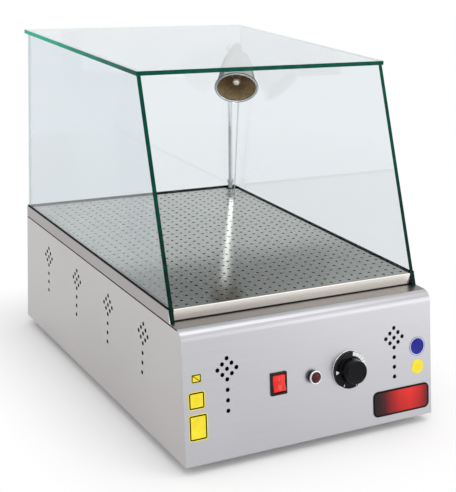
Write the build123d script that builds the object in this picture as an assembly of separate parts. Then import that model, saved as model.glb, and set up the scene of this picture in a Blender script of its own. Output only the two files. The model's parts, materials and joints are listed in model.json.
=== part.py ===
from build123d import *
import os
from math import cos, degrees, radians, sin, sqrt, tan

# Heated display case for a counter: a warm steel base with a perforated tray, under a
# glass case that is open at the front, with a small lamp in the back right corner.
# Millimetres. X runs to the right from the middle, Y to the back, Z up from the table.
# Depths are measured from the lower edge of the fascia, and shifted at the end so that
# the origin is under the middle of the whole case.

# Steel body
body_w = 400.0
body_d = 600.0
body_h = 177.5            # lower edge to deck
foot_h = 13.0             # what the feet lift the body by
sheet = 1.2
fascia_tilt = 9.0         # degrees, top of the fascia leans back
bend_r = 16.0             # rounded edge between fascia and deck
return_lip = 10.0         # folded edges of the panels
seam_r = 1.0              # groove where the side panels meet the deck's fold
flange_h = 17.0           # upstand round the glass
panel_fit = 0.3

# Glass case
glass_t = 6.0
glass_h = 303.5           # deck to the underside of the top glass
glass_front = 59.3        # depth of the slanted front edge at the deck
glass_slope = 0.398       # how far that edge goes back for each millimetre up
seal_t = 0.8
seal_bead = 2.6
back_seal_t = 0.8
top_front_lip = 2.0       # how far the top glass stands out past the walls
top_side_lip = 1.5
top_back_lip = 13.0
glass_joint = 0.1

# Tray
tray_setback = 6.2        # behind the front edge of the glass at the deck
tray_t = 1.2
tray_fit = 0.5
tray_skirt_gap = 1.6      # skirt to deck
tray_fold_r = 1.1
hole_r = 2.1
hole_step = 15.2
hole_margin_x = 9.1
hole_margin_y = 11.0
notch_w = 19.0            # cut-out round the lamp
notch_d = 15.0
rail_w = 10.0
rail_t = 1.5
rail_gap = 0.3            # rail to tray

# Heater
well_side_gap = 32.0      # well to the body's side
well_front = 100.0
well_back_gap = 40.0      # well to the body's back
well_depth = 54.0
well_t = 1.0
well_rim = 10.0
jacket_t = 12.0
shield_t = 0.8
element_r = 4.0
element_pitch = 70.0
element_lift = 14.0       # axis above the floor of the well
element_margin = 60.0     # bends to the walls of the well
element_tail = 12.0       # how far the ends stand out of the shield
clip_w = 12.0
clip_t = 3.0

# Ventilation holes
vent_r = 3.0
vent_pitch = 10.0         # between neighbours on the slant
vent_top = 135.8          # top hole, along the fascia from its lower edge
vent_inset = 65.0         # column of holes to the body's side
side_vent_top = 149.6     # top hole above the lower edge
side_vent_first = 138.3   # front group, from the front
side_vent_pitch = 120.0
side_vent_count = 4
back_vent_pitch = 110.0

# Controls, along the fascia
control_s = 88.5
switch_x = -57.5
switch_w = 25.4
switch_h = 31.6
bezel_t = 2.0
housing_w = 21.8
housing_h = 28.4
housing_d = 22.0
cutout_fit = 0.2
rocker_w = 18.9
rocker_gap = 0.3
rocker_r = 12.6           # round back of the rocker, about its pivot
rocker_pivot = 3.5        # pivot behind the fascia
rocker_face = 2.0         # middle of the face in front of the fascia
rocker_slope = 8.0        # degrees, each half of the face
rocker_rest = 7.0         # degrees, upper half pressed in
trunnion_r = 1.5
trunnion_l = 1.1
pivot_fit = 0.05
blade_w = 6.3
blade_t = 0.8
blade_l = 8.0
blade_dx = 6.0            # from the middle of the switch
blade_ds = 8.0
thermo_blade_dx = 15.0
indicator_dx = 2.5

lamp_sign_x = -1.8        # indicator
barrel_r = 9.0
barrel_l = 5.5
ring_r = 9.6
ring_l = 2.0
lens_r = 7.4
lens_l = 3.4
tail_r = 5.8
tail_l = 22.0
tail_nut_r = 9.0
tail_nut_t = 4.0

knob_x = 56.8
knob_r = 26.2
knob_lift = 1.8           # underside above the fascia
skirt_t = 3.4
hub_r = 18.2
hub_top_r = 16.4
knob_h = 21.0             # face above the fascia
knob_edge = 1.4
knob_dish = 1.0           # hollow of the knob's face
pointer_r = 24.4          # outer end of the white pointer
pointer_l = 6.4
pointer_w = 7.0
pointer_proud = 0.25
dial_r = 27.2
dial_inner_r = 20.5
dial_t = 1.0
shaft_r = 3.0
shaft_in = 12.0
bush_r = 5.2
thermostat_w = 46.0
thermostat_h = 40.0
thermostat_d = 26.0
thermo_screw_gap = 28.0
screw_r = 2.0
hole_fit = 0.2            # screw to the hole that it passes
screw_head_r = 3.4
screw_head_t = 1.7
capillary_r = 1.2
sensor_r = 3.2
sensor_l = 90.0
sensor_dx = 4.0           # from the knob's axis

# Blank labels and plate on the fascia: middle in from the nearer side, middle along the
# fascia, then width and height, or radius
label_t = 0.3
small_label = (19.7, 116.2, 13.6, 11.2)
middle_label = (19.1, 87.0, 24.0, 24.0)
tall_label = (20.0, 51.0, 27.3, 35.3)
round_label = (24.2, 103.0, 13.6)
seal_label = (24.3, 73.2, 10.4)
plate_t = 0.8
plate_label = (53.8, 29.0, 97.8, 37.0)
label_corner = 3.5
small_label_corner = 0.8

# Feet
foot_r = 14.0
foot_toe_r = 12.0
foot_inset_x = 55.0
foot_inset_front = 60.0
foot_inset_back = 50.0
foot_recess_r = 5.0
foot_recess = 6.0
foot_head_r = 4.0
foot_head_t = 3.0
foot_nut_r = 4.0
foot_nut_t = 3.2
seat_gap = 0.05           # nut or lead to what it meets

# Supply side
gland_x = -120.0
gland_z = 40.0            # above the lower edge
gland_r = 10.0
gland_flange_t = 8.0
gland_neck_r = 7.8
gland_neck_l = 14.0
gland_bore_r = 4.2
gland_nut_r = 11.5
gland_nut_t = 5.0
block_size = (60.0, 20.0, 22.0)
block_inset_x = 100.0     # body's left side to the middle of the terminal block
block_gap = 30.0          # back panel to terminal block
lead_r = 1.8
lead_bend = 30.0          # largest bend
lead_run = 16.0           # straight run at each end
back_screw_r = 3.0
back_screw_head = 1.8

# Lamp
post_inset_x = 18.0       # foot of the stem to the body's side
post_inset_y = 15.0       # and to its back
post_lean = 3.1           # degrees towards the left
post_foot_r = 6.0
post_foot_t = 3.0
sleeve_r = 4.95
sleeve_l = 33.5
stem_r = 4.0
stem_bore_r = 3.0
stem_fit = 0.05
stem_start = 20.0         # lower end above the deck, along the stem
stem_seat_gap = 0.3
lead_hole_r = 3.4
collar_r = 6.0
collar_h = 4.5
thumb_r = 1.3
thumb_l = 3.2
thumb_gap = 0.3           # end of the thumb screw to the stem
ball_r = 6.2
ball_drop = 36.5          # top glass down to the middle of the ball
lamp_heading = 28.0       # degrees, towards the left of straight ahead
lamp_dip = 38.0           # degrees below level
lamp_offset = 12.6        # ball to the lamp's own axis
pivot_gap = 0.3           # knuckle to neck
pivot_r = 1.5
pivot_head_r = 3.0
pivot_head_t = 1.4
pivot_recess = 1.6        # ball's surface to the seat of the screw's head
neck_r = 6.4
neck_back = 9.0
neck_front = 13.0
shade_t = 0.8
holder_r = 8.6
holder_front = 58.0
bulb_r = 7.0
bulb_front = 78.0
rim_r = 1.0
# outside of the shade: distance from the pivot along the lamp's axis, and radius
shade_outline = [(11.0, 8.2), (15.0, 13.2), (21.0, 18.2), (30.0, 22.7), (42.0, 26.6), (56.0, 29.8),
                 (70.0, 32.4), (81.0, 34.9), (88.0, 37.2)]

# Worked out from the sizes above
tilt = radians(fascia_tilt)
half_w = body_w / 2
block_x = block_inset_x - half_w
deck_z = foot_h + body_h
flange_top = deck_z + flange_h
glass_top_z = deck_z + glass_h
glass_out_x = half_w - sheet - seal_t
glass_in_x = glass_out_x - glass_t
glass_back_out = body_d - sheet - back_seal_t
glass_back_in = glass_back_out - glass_t
tray_half = glass_in_x - tray_fit
tray_back = glass_back_in - tray_fit
top_back = body_d + top_back_lip - sheet - back_seal_t
tray_front = glass_front + tray_setback
vent_x = half_w - vent_inset
well_half = half_w - well_side_gap
well_back = body_d - well_back_gap
well_d = well_back - well_front
post_x = half_w - post_inset_x
post_y = body_d - post_inset_y
ball_height = (glass_h - ball_drop) / cos(radians(post_lean))
floor_z = foot_h + 2 * sheet + lead_r + 0.3
block_front = body_d - sheet - block_gap - block_size[1]
well_floor_z = deck_z - well_depth
sensor_z = well_floor_z + well_depth / 2
sensor_front = well_front + 2 * jacket_t
vent_step = vent_pitch / sqrt(2)


def fascia_y(z):
    return (z - foot_h) * tan(tilt)


def case_front_y(z):
    return glass_front + (z - deck_z) * glass_slope


# Front of the knob's face is the foremost point, back edge of the top glass the last.
front_most = fascia_y(foot_h + control_s * cos(tilt)) - knob_h * cos(tilt) - hub_top_r * sin(tilt)
mid_y = (front_most + top_back) / 2
fascia = Location((0, 0, foot_h), (90 - fascia_tilt, 0, 0))


def on_fascia(x, s, out=0.0):
    return fascia * Pos(x, s, out)


def block(x0, x1, y0, y1, z0, z1):
    return Pos((x0 + x1) / 2, (y0 + y1) / 2, (z0 + z1) / 2) * Box(x1 - x0, y1 - y0, z1 - z0)


def disc(r, bottom, top):
    return Pos(0, 0, (bottom + top) / 2) * Cylinder(r, top - bottom)


def tube(r_out, r_in, bottom, top):
    return disc(r_out, bottom, top) - disc(r_in, bottom - 1, top + 1)


def hexagon(r, bottom, top):
    return Pos(0, 0, bottom) * extrude(RegularPolygon(r, 6), top - bottom)


def outline(points):
    return make_face(Polyline(*points, close=True))


def slab(points, x0, x1):
    """A flat shape given by (depth, height) points, from x0 to x1."""
    return Pos(x0, 0, 0) * extrude(Plane.YZ * outline(points), x1 - x0, dir=(1, 0, 0))


def turned(points):
    """A solid of revolution about Z from (radius, height) points."""
    return revolve(Plane.XZ * outline(points), Axis.Z)


def body_prism(inset, back_y, bottom_z, x0, x1):
    """The body's section, moved in by inset from fascia and deck, from x0 to x1."""
    top_z = deck_z - inset
    front = inset / cos(tilt)
    points = [(fascia_y(bottom_z) + front, bottom_z), (fascia_y(top_z) + front, top_z),
              (back_y, top_z), (back_y, bottom_z)]
    face = outline(points)
    corner = face.vertices().sort_by_distance(points[1])[0]
    face = fillet(corner, bend_r - inset)
    return Pos(x0, 0, 0) * extrude(Plane.YZ * face, x1 - x0, dir=(1, 0, 0))


def vent_spots():
    """A diamond of nine holes over a column of three, in steps from the top hole."""
    diamond = [(i, j) for j in range(5) for i in range(-2, 3)
               if abs(i) <= min(j, 4 - j) and (i + j) % 2 == 0]
    return diamond + [(0, 6), (0, 8), (0, 10)]


def vent_cutters(length):
    """Cutters for one group of holes, along Z, with the top hole at the origin."""
    return [Pos(i * vent_step, -j * vent_step, 0) * Cylinder(vent_r, length) for i, j in vent_spots()]


def seam_cutter(side):
    """The groove along the fold between deck and side panel."""
    y0, y1 = case_front_y(deck_z), body_d + 1
    return Pos(side * half_w, (y0 + y1) / 2, deck_z - sheet) * Rot(90, 0, 0) * Cylinder(seam_r, y1 - y0)


def screw(head_r, head_t, shank_r, shank_l):
    """A screw along Z: the head stands on the plane Z = 0, the shank goes down."""
    return disc(head_r, 0, head_t) + disc(shank_r, -shank_l, 0)


parts = {}

# Body

foot_spots = [(sx * (half_w - foot_inset_x), y)
              for y in (foot_inset_front, body_d - foot_inset_back) for sx in (-1, 1)]
foot_names = ["foot_front_left", "foot_front_right", "foot_back_left", "foot_back_right"]
back_screw_spots = [(sx * (half_w - return_lip / 2), foot_h + sz * body_h)
                    for sx in (-1, 1) for sz in (0.12, 0.5, 0.88)]


def make_fascia_deck():
    solid = body_prism(0, body_d, foot_h, -half_w, half_w)
    solid -= body_prism(sheet, body_d + 1, foot_h - 1, -half_w - 1, half_w + 1)
    lip_x = half_w - return_lip - panel_fit
    solid += block(-lip_x, lip_x, sheet / 2, return_lip, foot_h, foot_h + sheet)
    flange = [(case_front_y(deck_z), deck_z), (case_front_y(flange_top), flange_top),
              (body_d, flange_top), (body_d, deck_z)]
    solid += slab(flange, -half_w, sheet - half_w)
    solid += slab(flange, half_w - sheet, half_w)
    solid += block(-half_w, half_w, body_d - sheet, body_d, deck_z - sheet, flange_top)
    solid -= block(-well_half, well_half, well_front, well_back, deck_z - 5, deck_z + 5)
    for side in (-1, 1):
        solid -= seam_cutter(side)
        solid -= [on_fascia(side * vent_x, vent_top) * c for c in vent_cutters(6 * sheet)]
    cut_w, cut_h = housing_w + 2 * cutout_fit, housing_h + 2 * cutout_fit
    solid -= on_fascia(switch_x, control_s) * Box(cut_w, cut_h, 6 * sheet)
    solid -= on_fascia(lamp_sign_x, control_s) * Cylinder(tail_r + cutout_fit, 6 * sheet)
    solid -= on_fascia(knob_x, control_s) * Cylinder(bush_r + cutout_fit, 6 * sheet)
    for dx in (-thermo_screw_gap / 2, thermo_screw_gap / 2):
        solid -= on_fascia(knob_x + dx, control_s) * Cylinder(screw_r + cutout_fit, 6 * sheet)
    solid -= post * disc(lead_hole_r, -3 * sheet, 2 * sheet)
    return solid


def make_side_panel(side):
    x_out, x_lip, x_in = side * half_w, side * (half_w - return_lip), side * (half_w - sheet)
    back = body_d - sheet
    solid = body_prism(sheet, back, foot_h, min(x_out, x_lip), max(x_out, x_lip))
    reach = x_lip - side * 2
    solid -= body_prism(2 * sheet, back - sheet, foot_h + sheet, min(x_in, reach), max(x_in, reach))
    for k in range(side_vent_count):
        spot = Location((x_out, side_vent_first + k * side_vent_pitch, foot_h + side_vent_top))
        solid -= [spot * Rot(0, 0, 90) * Rot(90, 0, 0) * c for c in vent_cutters(4 * sheet)]
    for x, z in back_screw_spots:
        if x * side > 0:
            solid -= Pos(x, body_d, z) * Rot(90, 0, 0) * Cylinder(screw_r + hole_fit, 8 * sheet)
    return solid - seam_cutter(side)


def make_back_panel():
    solid = block(-half_w, half_w, body_d - sheet, body_d, foot_h, deck_z - sheet)
    for k in (-1, 0, 1):
        spot = Location((k * back_vent_pitch, body_d, foot_h + side_vent_top)) * Rot(90, 0, 0)
        solid -= [spot * c for c in vent_cutters(4 * sheet)]
    gland = Location((gland_x, body_d, foot_h + gland_z)) * Rot(90, 0, 0)
    solid -= gland * Cylinder(gland_neck_r + cutout_fit, 4 * sheet)
    for x, z in back_screw_spots:
        solid -= Pos(x, body_d, z) * Rot(90, 0, 0) * Cylinder(screw_r + hole_fit, 4 * sheet)
    return solid


def make_base_plate():
    z0 = foot_h + sheet
    half = half_w - sheet - panel_fit
    front = fascia_y(z0 + sheet) + 2 * sheet / cos(tilt) + panel_fit
    solid = block(-half, half, front, body_d - 2 * sheet - panel_fit, z0, z0 + sheet)
    for x, y in foot_spots:
        solid -= Pos(x, y, z0) * Cylinder(screw_r + hole_fit, 4 * sheet)
    slot = extrude(SlotOverall(90, 6), 4 * sheet, both=True)
    for k in range(6):
        for sx in (-1, 1):
            solid -= Pos(sx * 75, body_d / 2 + (k - 2.5) * 20, z0) * slot
    return solid


def make_foot(x, y):
    top = foot_h + sheet
    solid = turned([(0, 0), (foot_toe_r, 0), (foot_r, top), (0, top)])
    solid -= disc(foot_recess_r, -1, foot_recess)
    solid -= disc(screw_r + hole_fit, foot_recess - 1, top + 1)
    return Pos(x, y, 0) * solid


def make_foot_screws():
    """Each screw with its nut run on."""
    shank = foot_h + 2 * sheet - foot_recess + foot_nut_t + 1
    bolt = Pos(0, 0, foot_recess) * Rot(180, 0, 0) * screw(foot_head_r, foot_head_t, screw_r, shank)
    nut_z = foot_h + 2 * sheet + seat_gap
    nut = hexagon(foot_nut_r, nut_z, nut_z + foot_nut_t)
    return [Pos(x, y, 0) * (bolt + nut) for x, y in foot_spots]


def make_back_screws():
    one = Rot(-90, 0, 0) * screw(back_screw_r, back_screw_head, screw_r, 4 * sheet)
    return [Pos(x, body_d, z) * one for x, z in back_screw_spots]


# Heater

def jacket_box(grow, floor_drop, top_z):
    return block(-well_half - grow, well_half + grow, well_front - grow, well_back + grow,
                 well_floor_z - floor_drop, top_z)


def element_path():
    z = well_floor_z + element_lift
    y_tail = well_front - jacket_t - shield_t - element_tail
    y_near, y_far = well_front + element_margin, well_back - element_margin
    x1, x2 = element_pitch / 2, element_pitch * 1.5
    points = [(-x2, y_tail, z), (-x2, y_far, z), (-x1, y_far, z), (-x1, y_near, z),
              (x1, y_near, z), (x1, y_far, z), (x2, y_far, z), (x2, y_tail, z)]
    return FilletPolyline(*points, radius=element_pitch / 2 - 2)


def make_element():
    path = element_path()
    start = Plane(origin=path @ 0, z_dir=path % 0)
    return sweep(start * Circle(element_r), path=path)


def wall_holes():
    """Holes in the front walls for the element's ends and the capillary tube."""
    z = well_floor_z + element_lift
    length = 4 * jacket_t
    y = well_front - jacket_t / 2
    holes = [Pos(side * element_pitch * 1.5, y, z) * Rot(90, 0, 0) * Cylinder(element_r + panel_fit, length)
             for side in (-1, 1)]
    hole_r = capillary_r + panel_fit
    return holes + [Pos(knob_x + sensor_dx, y, sensor_z) * Rot(90, 0, 0) * Cylinder(hole_r, length)]


def make_well():
    fit = panel_fit
    solid = block(fit - well_half, well_half - fit, well_front + fit, well_back - fit,
                  well_floor_z, deck_z + well_t)
    rim = well_half + well_rim
    solid += block(-rim, rim, well_front - well_rim, well_back + well_rim, deck_z, deck_z + well_t)
    wall = fit + well_t
    solid -= block(wall - well_half, well_half - wall, well_front + wall, well_back - wall,
                   well_floor_z + well_t, deck_z + well_t + 1)
    return solid - wall_holes()


def make_clips():
    spots = [(sx * k * element_pitch, y) for sx in (-1, 1) for k in (0.5, 1.5)
             for y in (well_front + well_d * 0.3, well_front + well_d * 0.7)]
    foot_z, seat_z = well_floor_z + well_t, well_floor_z + element_lift
    clips = []
    for x, y in spots:
        post_solid = block(x - clip_w / 2, x + clip_w / 2, y, y + clip_t, foot_z, seat_z)
        post_solid -= Pos(x, y, seat_z) * Rot(90, 0, 0) * Cylinder(element_r, 4 * clip_t)
        clips.append(post_solid)
    x, y = knob_x + sensor_dx, sensor_front + sensor_l / 2
    post_solid = block(x - clip_w / 2, x + clip_w / 2, y, y + clip_t, foot_z, sensor_z)
    clips.append(post_solid - Pos(x, y, sensor_z) * Rot(90, 0, 0) * Cylinder(sensor_r, 4 * clip_t))
    return clips


def make_jacket():
    solid = jacket_box(jacket_t, jacket_t, deck_z - sheet) - jacket_box(-panel_fit, 0, deck_z)
    return solid - wall_holes()


def make_shield():
    grow = jacket_t + shield_t
    solid = jacket_box(grow, grow, deck_z - sheet) - jacket_box(jacket_t, jacket_t, deck_z)
    return solid - wall_holes()


# Tray and its rails

def make_rail(side):
    top = flange_top - tray_t - rail_gap
    x_out = tray_half - tray_t - panel_fit
    y0, y1 = tray_front + tray_t + 8, post_y - post_foot_r - 6
    upright = block(x_out - rail_t, x_out, y0, y1, deck_z, top)
    shelf = block(x_out - rail_w, x_out, y0, y1, top - rail_t, top)
    foot = block(x_out - rail_w + 1, x_out, y0, y1, deck_z, deck_z + rail_t)
    solid = upright + shelf + foot
    return solid if side > 0 else mirror(solid, Plane.YZ)


def make_tray():
    top, low = flange_top, deck_z + tray_skirt_gap
    solid = block(-tray_half, tray_half, tray_front, tray_back, low, top)
    edges = solid.edges().filter_by(Axis.Y).group_by(Axis.Z)[-1]
    edges += solid.edges().filter_by(Axis.X).group_by(Axis.Z)[-1].sort_by(Axis.Y)[:1]
    solid = fillet(edges, tray_fold_r)
    inner = tray_half - tray_t
    solid -= block(-inner, inner, tray_front + tray_t, tray_back + 1, low - 1, top - tray_t)
    solid -= block(post_x - notch_w / 2, tray_half + 1, tray_back - notch_d, tray_back + 1, low - 1, top + 1)
    cols = int((2 * (tray_half - hole_margin_x)) / hole_step) + 1
    rows = int((tray_back - tray_front - 2 * hole_margin_y + 0.5) / hole_step) + 1
    spots = []
    for i in range(cols):
        x = (i - (cols - 1) / 2) * hole_step
        for j in range(rows):
            y = tray_front + hole_margin_y + j * hole_step
            clear_x = x + hole_r + tray_t < post_x - notch_w / 2
            clear_y = y + hole_r + tray_t < tray_back - notch_d
            if clear_x or clear_y:
                spots.append((x, y))
    holes = Sketch() + [Pos(x, y, top - 2 * tray_t) * Circle(hole_r) for x, y in spots]
    return solid - extrude(holes, 3 * tray_t, dir=(0, 0, 1))


# Glass and seals

side_wall = [(case_front_y(deck_z), deck_z), (case_front_y(glass_top_z), glass_top_z),
             (glass_back_in - glass_joint, glass_top_z), (glass_back_in - glass_joint, deck_z)]


def make_glass_side(side):
    x0, x1 = sorted((side * glass_in_x, side * glass_out_x))
    return slab(side_wall, x0, x1)


def make_glass_back():
    return block(-glass_out_x, glass_out_x, glass_back_in, glass_back_out, deck_z, glass_top_z)


def make_glass_top():
    half = glass_out_x + top_side_lip
    solid = block(-half, half, case_front_y(glass_top_z) - top_front_lip, top_back,
                  glass_top_z, glass_top_z + glass_t)
    return solid


def make_side_seal(side):
    """A strip between flange and glass, with a sloping bead on top of the flange."""
    x_in, x_slot, x_out = glass_out_x, half_w - sheet, half_w - 0.3
    points = [(x_in, deck_z), (x_slot, deck_z), (x_slot, flange_top), (x_out, flange_top),
              (x_out - 0.4, flange_top + seal_bead * 0.6), (x_in, flange_top + seal_bead)]
    face = make_face(Plane.XZ * Polyline(*points, close=True))
    length = body_d - sheet - case_front_y(deck_z)
    strip = Pos(0, case_front_y(deck_z), 0) * extrude(face, length, dir=(0, 1, 0))
    bead_top = flange_top + seal_bead
    room = [(case_front_y(deck_z), deck_z), (case_front_y(bead_top), bead_top),
            (body_d, bead_top), (body_d, deck_z)]
    strip &= slab(room, 0, body_w)
    return strip if side > 0 else mirror(strip, Plane.YZ)


def make_back_seal():
    y_in, y_slot, y_out = glass_back_out, body_d - sheet, body_d - 0.3
    points = [(y_in, deck_z), (y_slot, deck_z), (y_slot, flange_top), (y_out, flange_top),
              (y_out - 0.4, flange_top + seal_bead * 0.6), (y_in, flange_top + seal_bead)]
    half = glass_out_x
    return slab(points, -half, half)


# Controls

def make_switch_body():
    here = on_fascia(switch_x, control_s)
    bezel = fillet(Box(switch_w, switch_h, 2 * bezel_t).edges().filter_by(Axis.Z), 1.5)
    bezel = fillet(bezel.faces().sort_by(Axis.Z)[-1].edges(), 0.8) & disc(switch_h, 0, bezel_t)
    housing = Pos(0, 0, -housing_d / 2) * Box(housing_w, housing_h, housing_d)
    solid = bezel + housing
    turn = Pos(0, 0, -rocker_pivot) * Rot(0, 90, 0)
    solid -= turn * Cylinder(rocker_r + rocker_gap, rocker_w + 2 * rocker_gap)
    pocket = rocker_w / 2 + rocker_gap + trunnion_l
    solid -= turn * Cylinder(trunnion_r + pivot_fit, 2 * pocket)
    return here * solid


def make_rocker():
    here = on_fascia(switch_x, control_s, -rocker_pivot) * Rot(-rocker_rest, 0, 0)
    top = rocker_pivot + rocker_face
    rise = rocker_r * tan(radians(rocker_slope))
    wedge = [(0, top), (rocker_r, top + rise), (rocker_r, -rocker_r), (-rocker_r, -rocker_r),
             (-rocker_r, top + rise)]
    solid = Rot(0, 90, 0) * Cylinder(rocker_r, rocker_w)
    solid &= slab(wedge, -rocker_w / 2, rocker_w / 2)
    pin_half = rocker_w / 2 + rocker_gap + trunnion_l - pivot_fit
    solid += Rot(0, 90, 0) * Cylinder(trunnion_r, 2 * pin_half)
    return here * solid


def make_blades():
    """Push-on terminals behind the switch, the thermostat and the indicator."""
    spots = [(switch_x + dx, control_s + ds, housing_d, blade_w)
             for dx in (-blade_dx, blade_dx) for ds in (-blade_ds, blade_ds)]
    spots += [(knob_x + dx, control_s + blade_ds, sheet + thermostat_d, blade_w)
              for dx in (-thermo_blade_dx, 0, thermo_blade_dx)]
    spots += [(lamp_sign_x + dx, control_s, tail_l, blade_w / 2) for dx in (-indicator_dx, indicator_dx)]
    return [on_fascia(x, s, -back - blade_l / 2) * Box(blade_t, w, blade_l) for x, s, back, w in spots]


def make_indicator():
    here = on_fascia(lamp_sign_x, control_s)
    body = disc(barrel_r, 0, barrel_l) + disc(tail_r, -tail_l, 0)
    ring = tube(ring_r, lens_r, barrel_l, barrel_l + ring_l)
    ring = fillet(ring.edges().filter_by(GeomType.CIRCLE).group_by(Axis.Z)[-1], 0.7)
    lens = Pos(0, 0, barrel_l) * extrude(RegularPolygon(lens_r, 12), ring_l)
    crown = Pos(0, 0, barrel_l + ring_l) * extrude(RegularPolygon(lens_r - 0.1, 8), lens_l - ring_l, taper=38)
    nut = hexagon(tail_nut_r, -sheet - tail_nut_t, -sheet) - disc(tail_r, -tail_l, 0)
    return {"indicator_body": here * body, "indicator_ring": here * ring,
            "indicator_lens": here * (lens + crown), "indicator_nut": here * nut}


def make_thermostat_body():
    here = on_fascia(knob_x, control_s)
    solid = Pos(0, 0, -sheet - thermostat_d / 2) * Box(thermostat_w, thermostat_h, thermostat_d)
    solid += disc(bush_r, -sheet, knob_lift - dial_t)
    solid -= disc(shaft_r + pivot_fit, -sheet - shaft_in, knob_lift)
    for dx in (-thermo_screw_gap / 2, thermo_screw_gap / 2):
        solid -= Pos(dx, 0, 0) * disc(screw_r, -sheet - 6, 1)
    return here * solid


def make_thermostat_screws():
    one = screw(screw_head_r, screw_head_t, screw_r, sheet + 6)
    return [on_fascia(knob_x + dx, control_s) * one for dx in (-thermo_screw_gap / 2, thermo_screw_gap / 2)]


def make_shaft():
    top = knob_h - 6
    return on_fascia(knob_x, control_s) * disc(shaft_r, -sheet - shaft_in + 0.3, top)


def pointer_prism(bottom, top):
    points = [(-pointer_r, -pointer_w / 2), (-pointer_r + pointer_l, 0), (-pointer_r, pointer_w / 2)]
    return Pos(0, 0, bottom) * extrude(outline(points), top - bottom, dir=(0, 0, 1))


def make_knob():
    low = knob_lift
    skirt_top = low + skirt_t
    points = [(0, low + 0.8), (dial_inner_r, low + 0.8), (dial_inner_r + 0.8, low), (knob_r, low),
              (knob_r, skirt_top - 1.2), (knob_r - 1.2, skirt_top), (hub_r, skirt_top + 0.4),
              (hub_top_r, knob_h - knob_edge), (hub_top_r - knob_edge, knob_h),
              (hub_top_r - 3 * knob_edge, knob_h), (0, knob_h - knob_dish)]
    solid = turned(points)
    solid -= disc(shaft_r, low, knob_h - 6)
    solid -= pointer_prism(skirt_top - 0.8, knob_h)
    return on_fascia(knob_x, control_s) * solid


def make_pointer():
    skirt_top = knob_lift + skirt_t
    solid = pointer_prism(skirt_top - 0.8, skirt_top + 0.2 + pointer_proud)
    return on_fascia(knob_x, control_s) * solid


def make_dial_ring():
    return on_fascia(knob_x, control_s) * tube(dial_r, dial_inner_r, 0, dial_t)


def lead(points, r):
    """A bent wire or tube, with bends as large as the runs beside them allow."""
    points = [Vector(p) for p in points]
    bends = []
    for before, corner, after in zip(points, points[1:], points[2:]):
        turn = radians((corner - before).get_angle(after - corner))
        run = min((corner - before).length, (after - corner).length)
        bends.append(min(lead_bend, 0.45 * run / tan(turn / 2)))
    points[0] += (points[1] - points[0]).normalized() * seat_gap
    points[-1] += (points[-2] - points[-1]).normalized() * seat_gap
    path = FilletPolyline(*points, radius=bends)
    return sweep(Plane(origin=path @ 0, z_dir=path % 0) * Circle(r), path=path)


def behind(x, s, out):
    return on_fascia(x, s, -out).position


def make_capillary():
    x, s = knob_x + sensor_dx, control_s - 10
    back = sheet + thermostat_d
    out = behind(x, s, back + lead_run)
    return lead([behind(x, s, back), out, (x, out.Y + 8, sensor_z), (x, sensor_front, sensor_z)], capillary_r)


def make_sensor():
    solid = fillet(disc(sensor_r, 0, sensor_l).edges().filter_by(GeomType.CIRCLE), 1.2)
    return Pos(knob_x + sensor_dx, sensor_front, sensor_z) * Rot(-90, 0, 0) * solid


# Labels

def rounded_plate(side, spec, thickness, corner):
    inset, s, w, h = spec
    solid = Pos(0, 0, thickness / 2) * Box(w, h, thickness)
    return on_fascia(side * (half_w - inset), s) * fillet(solid.edges().filter_by(Axis.Z), corner)


def make_disc_label(spec):
    inset, s, r = spec
    return on_fascia(half_w - inset, s) * disc(r, 0, label_t)


def make_yellow_labels():
    return [rounded_plate(-1, small_label, label_t, small_label_corner),
            rounded_plate(-1, middle_label, label_t, label_corner),
            rounded_plate(-1, tall_label, label_t, label_corner), make_disc_label(seal_label)]


# Supply side

def make_gland():
    here = Location((gland_x, body_d, foot_h + gland_z)) * Rot(-90, 0, 0)
    solid = disc(gland_r, 0, gland_flange_t) + disc(gland_neck_r, -gland_neck_l, 0)
    solid = fillet(solid.edges().filter_by(GeomType.CIRCLE).group_by(Axis.Z)[-1], 2.0)
    return here * (solid - disc(gland_bore_r, -gland_neck_l - 1, gland_flange_t + 1))


def make_gland_nut():
    here = Location((gland_x, body_d, foot_h + gland_z)) * Rot(-90, 0, 0)
    solid = hexagon(gland_nut_r, -sheet - gland_nut_t, -sheet)
    return here * (solid - disc(gland_neck_r, -gland_neck_l - 1, 1))


def make_terminal_block():
    w, d, h = block_size
    z0 = foot_h + 2 * sheet
    y1 = body_d - sheet - block_gap
    solid = block(block_x - w / 2, block_x + w / 2, y1 - d, y1, z0, z0 + h)
    for k in range(-2, 3):
        solid -= Pos(block_x + k * w / 5, y1 - d / 2, z0 + h) * Cylinder(2.5, 8)
    return solid


def make_base_leads():
    """Terminal block to switch, switch to thermostat and thermostat to indicator."""
    switch_back, thermo_back = housing_d + blade_l, sheet + thermostat_d + blade_l
    indicator_back = tail_l + blade_l
    x, s = switch_x - blade_dx, control_s - blade_ds
    x0 = block_x - 10
    mains = [(x0, block_front, floor_z), (x0, 130, floor_z), (x, 84, floor_z + 14),
             behind(x, s, switch_back + lead_run), behind(x, s, switch_back)]
    x1, x2, s2 = switch_x + blade_dx, knob_x - thermo_blade_dx, control_s + blade_ds
    switch_out, thermo_out = switch_back + lead_run, thermo_back + lead_run
    link = [behind(x1, s, switch_back), behind(x1, s, switch_out), behind(x1 + 40, s - 22, 52),
            behind(x2 - 8, s - 12, 54), behind(x2, s2, thermo_out), behind(x2, s2, thermo_back)]
    x3 = lamp_sign_x + indicator_dx
    sign = [behind(knob_x, s2, thermo_back), behind(knob_x, s2, thermo_out),
            behind(knob_x - 26, s2 + 18, thermo_out),
            behind(x3, control_s, indicator_back + lead_run), behind(x3, control_s, indicator_back)]
    return [lead(points, lead_r) for points in (mains, link, sign)]


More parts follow.
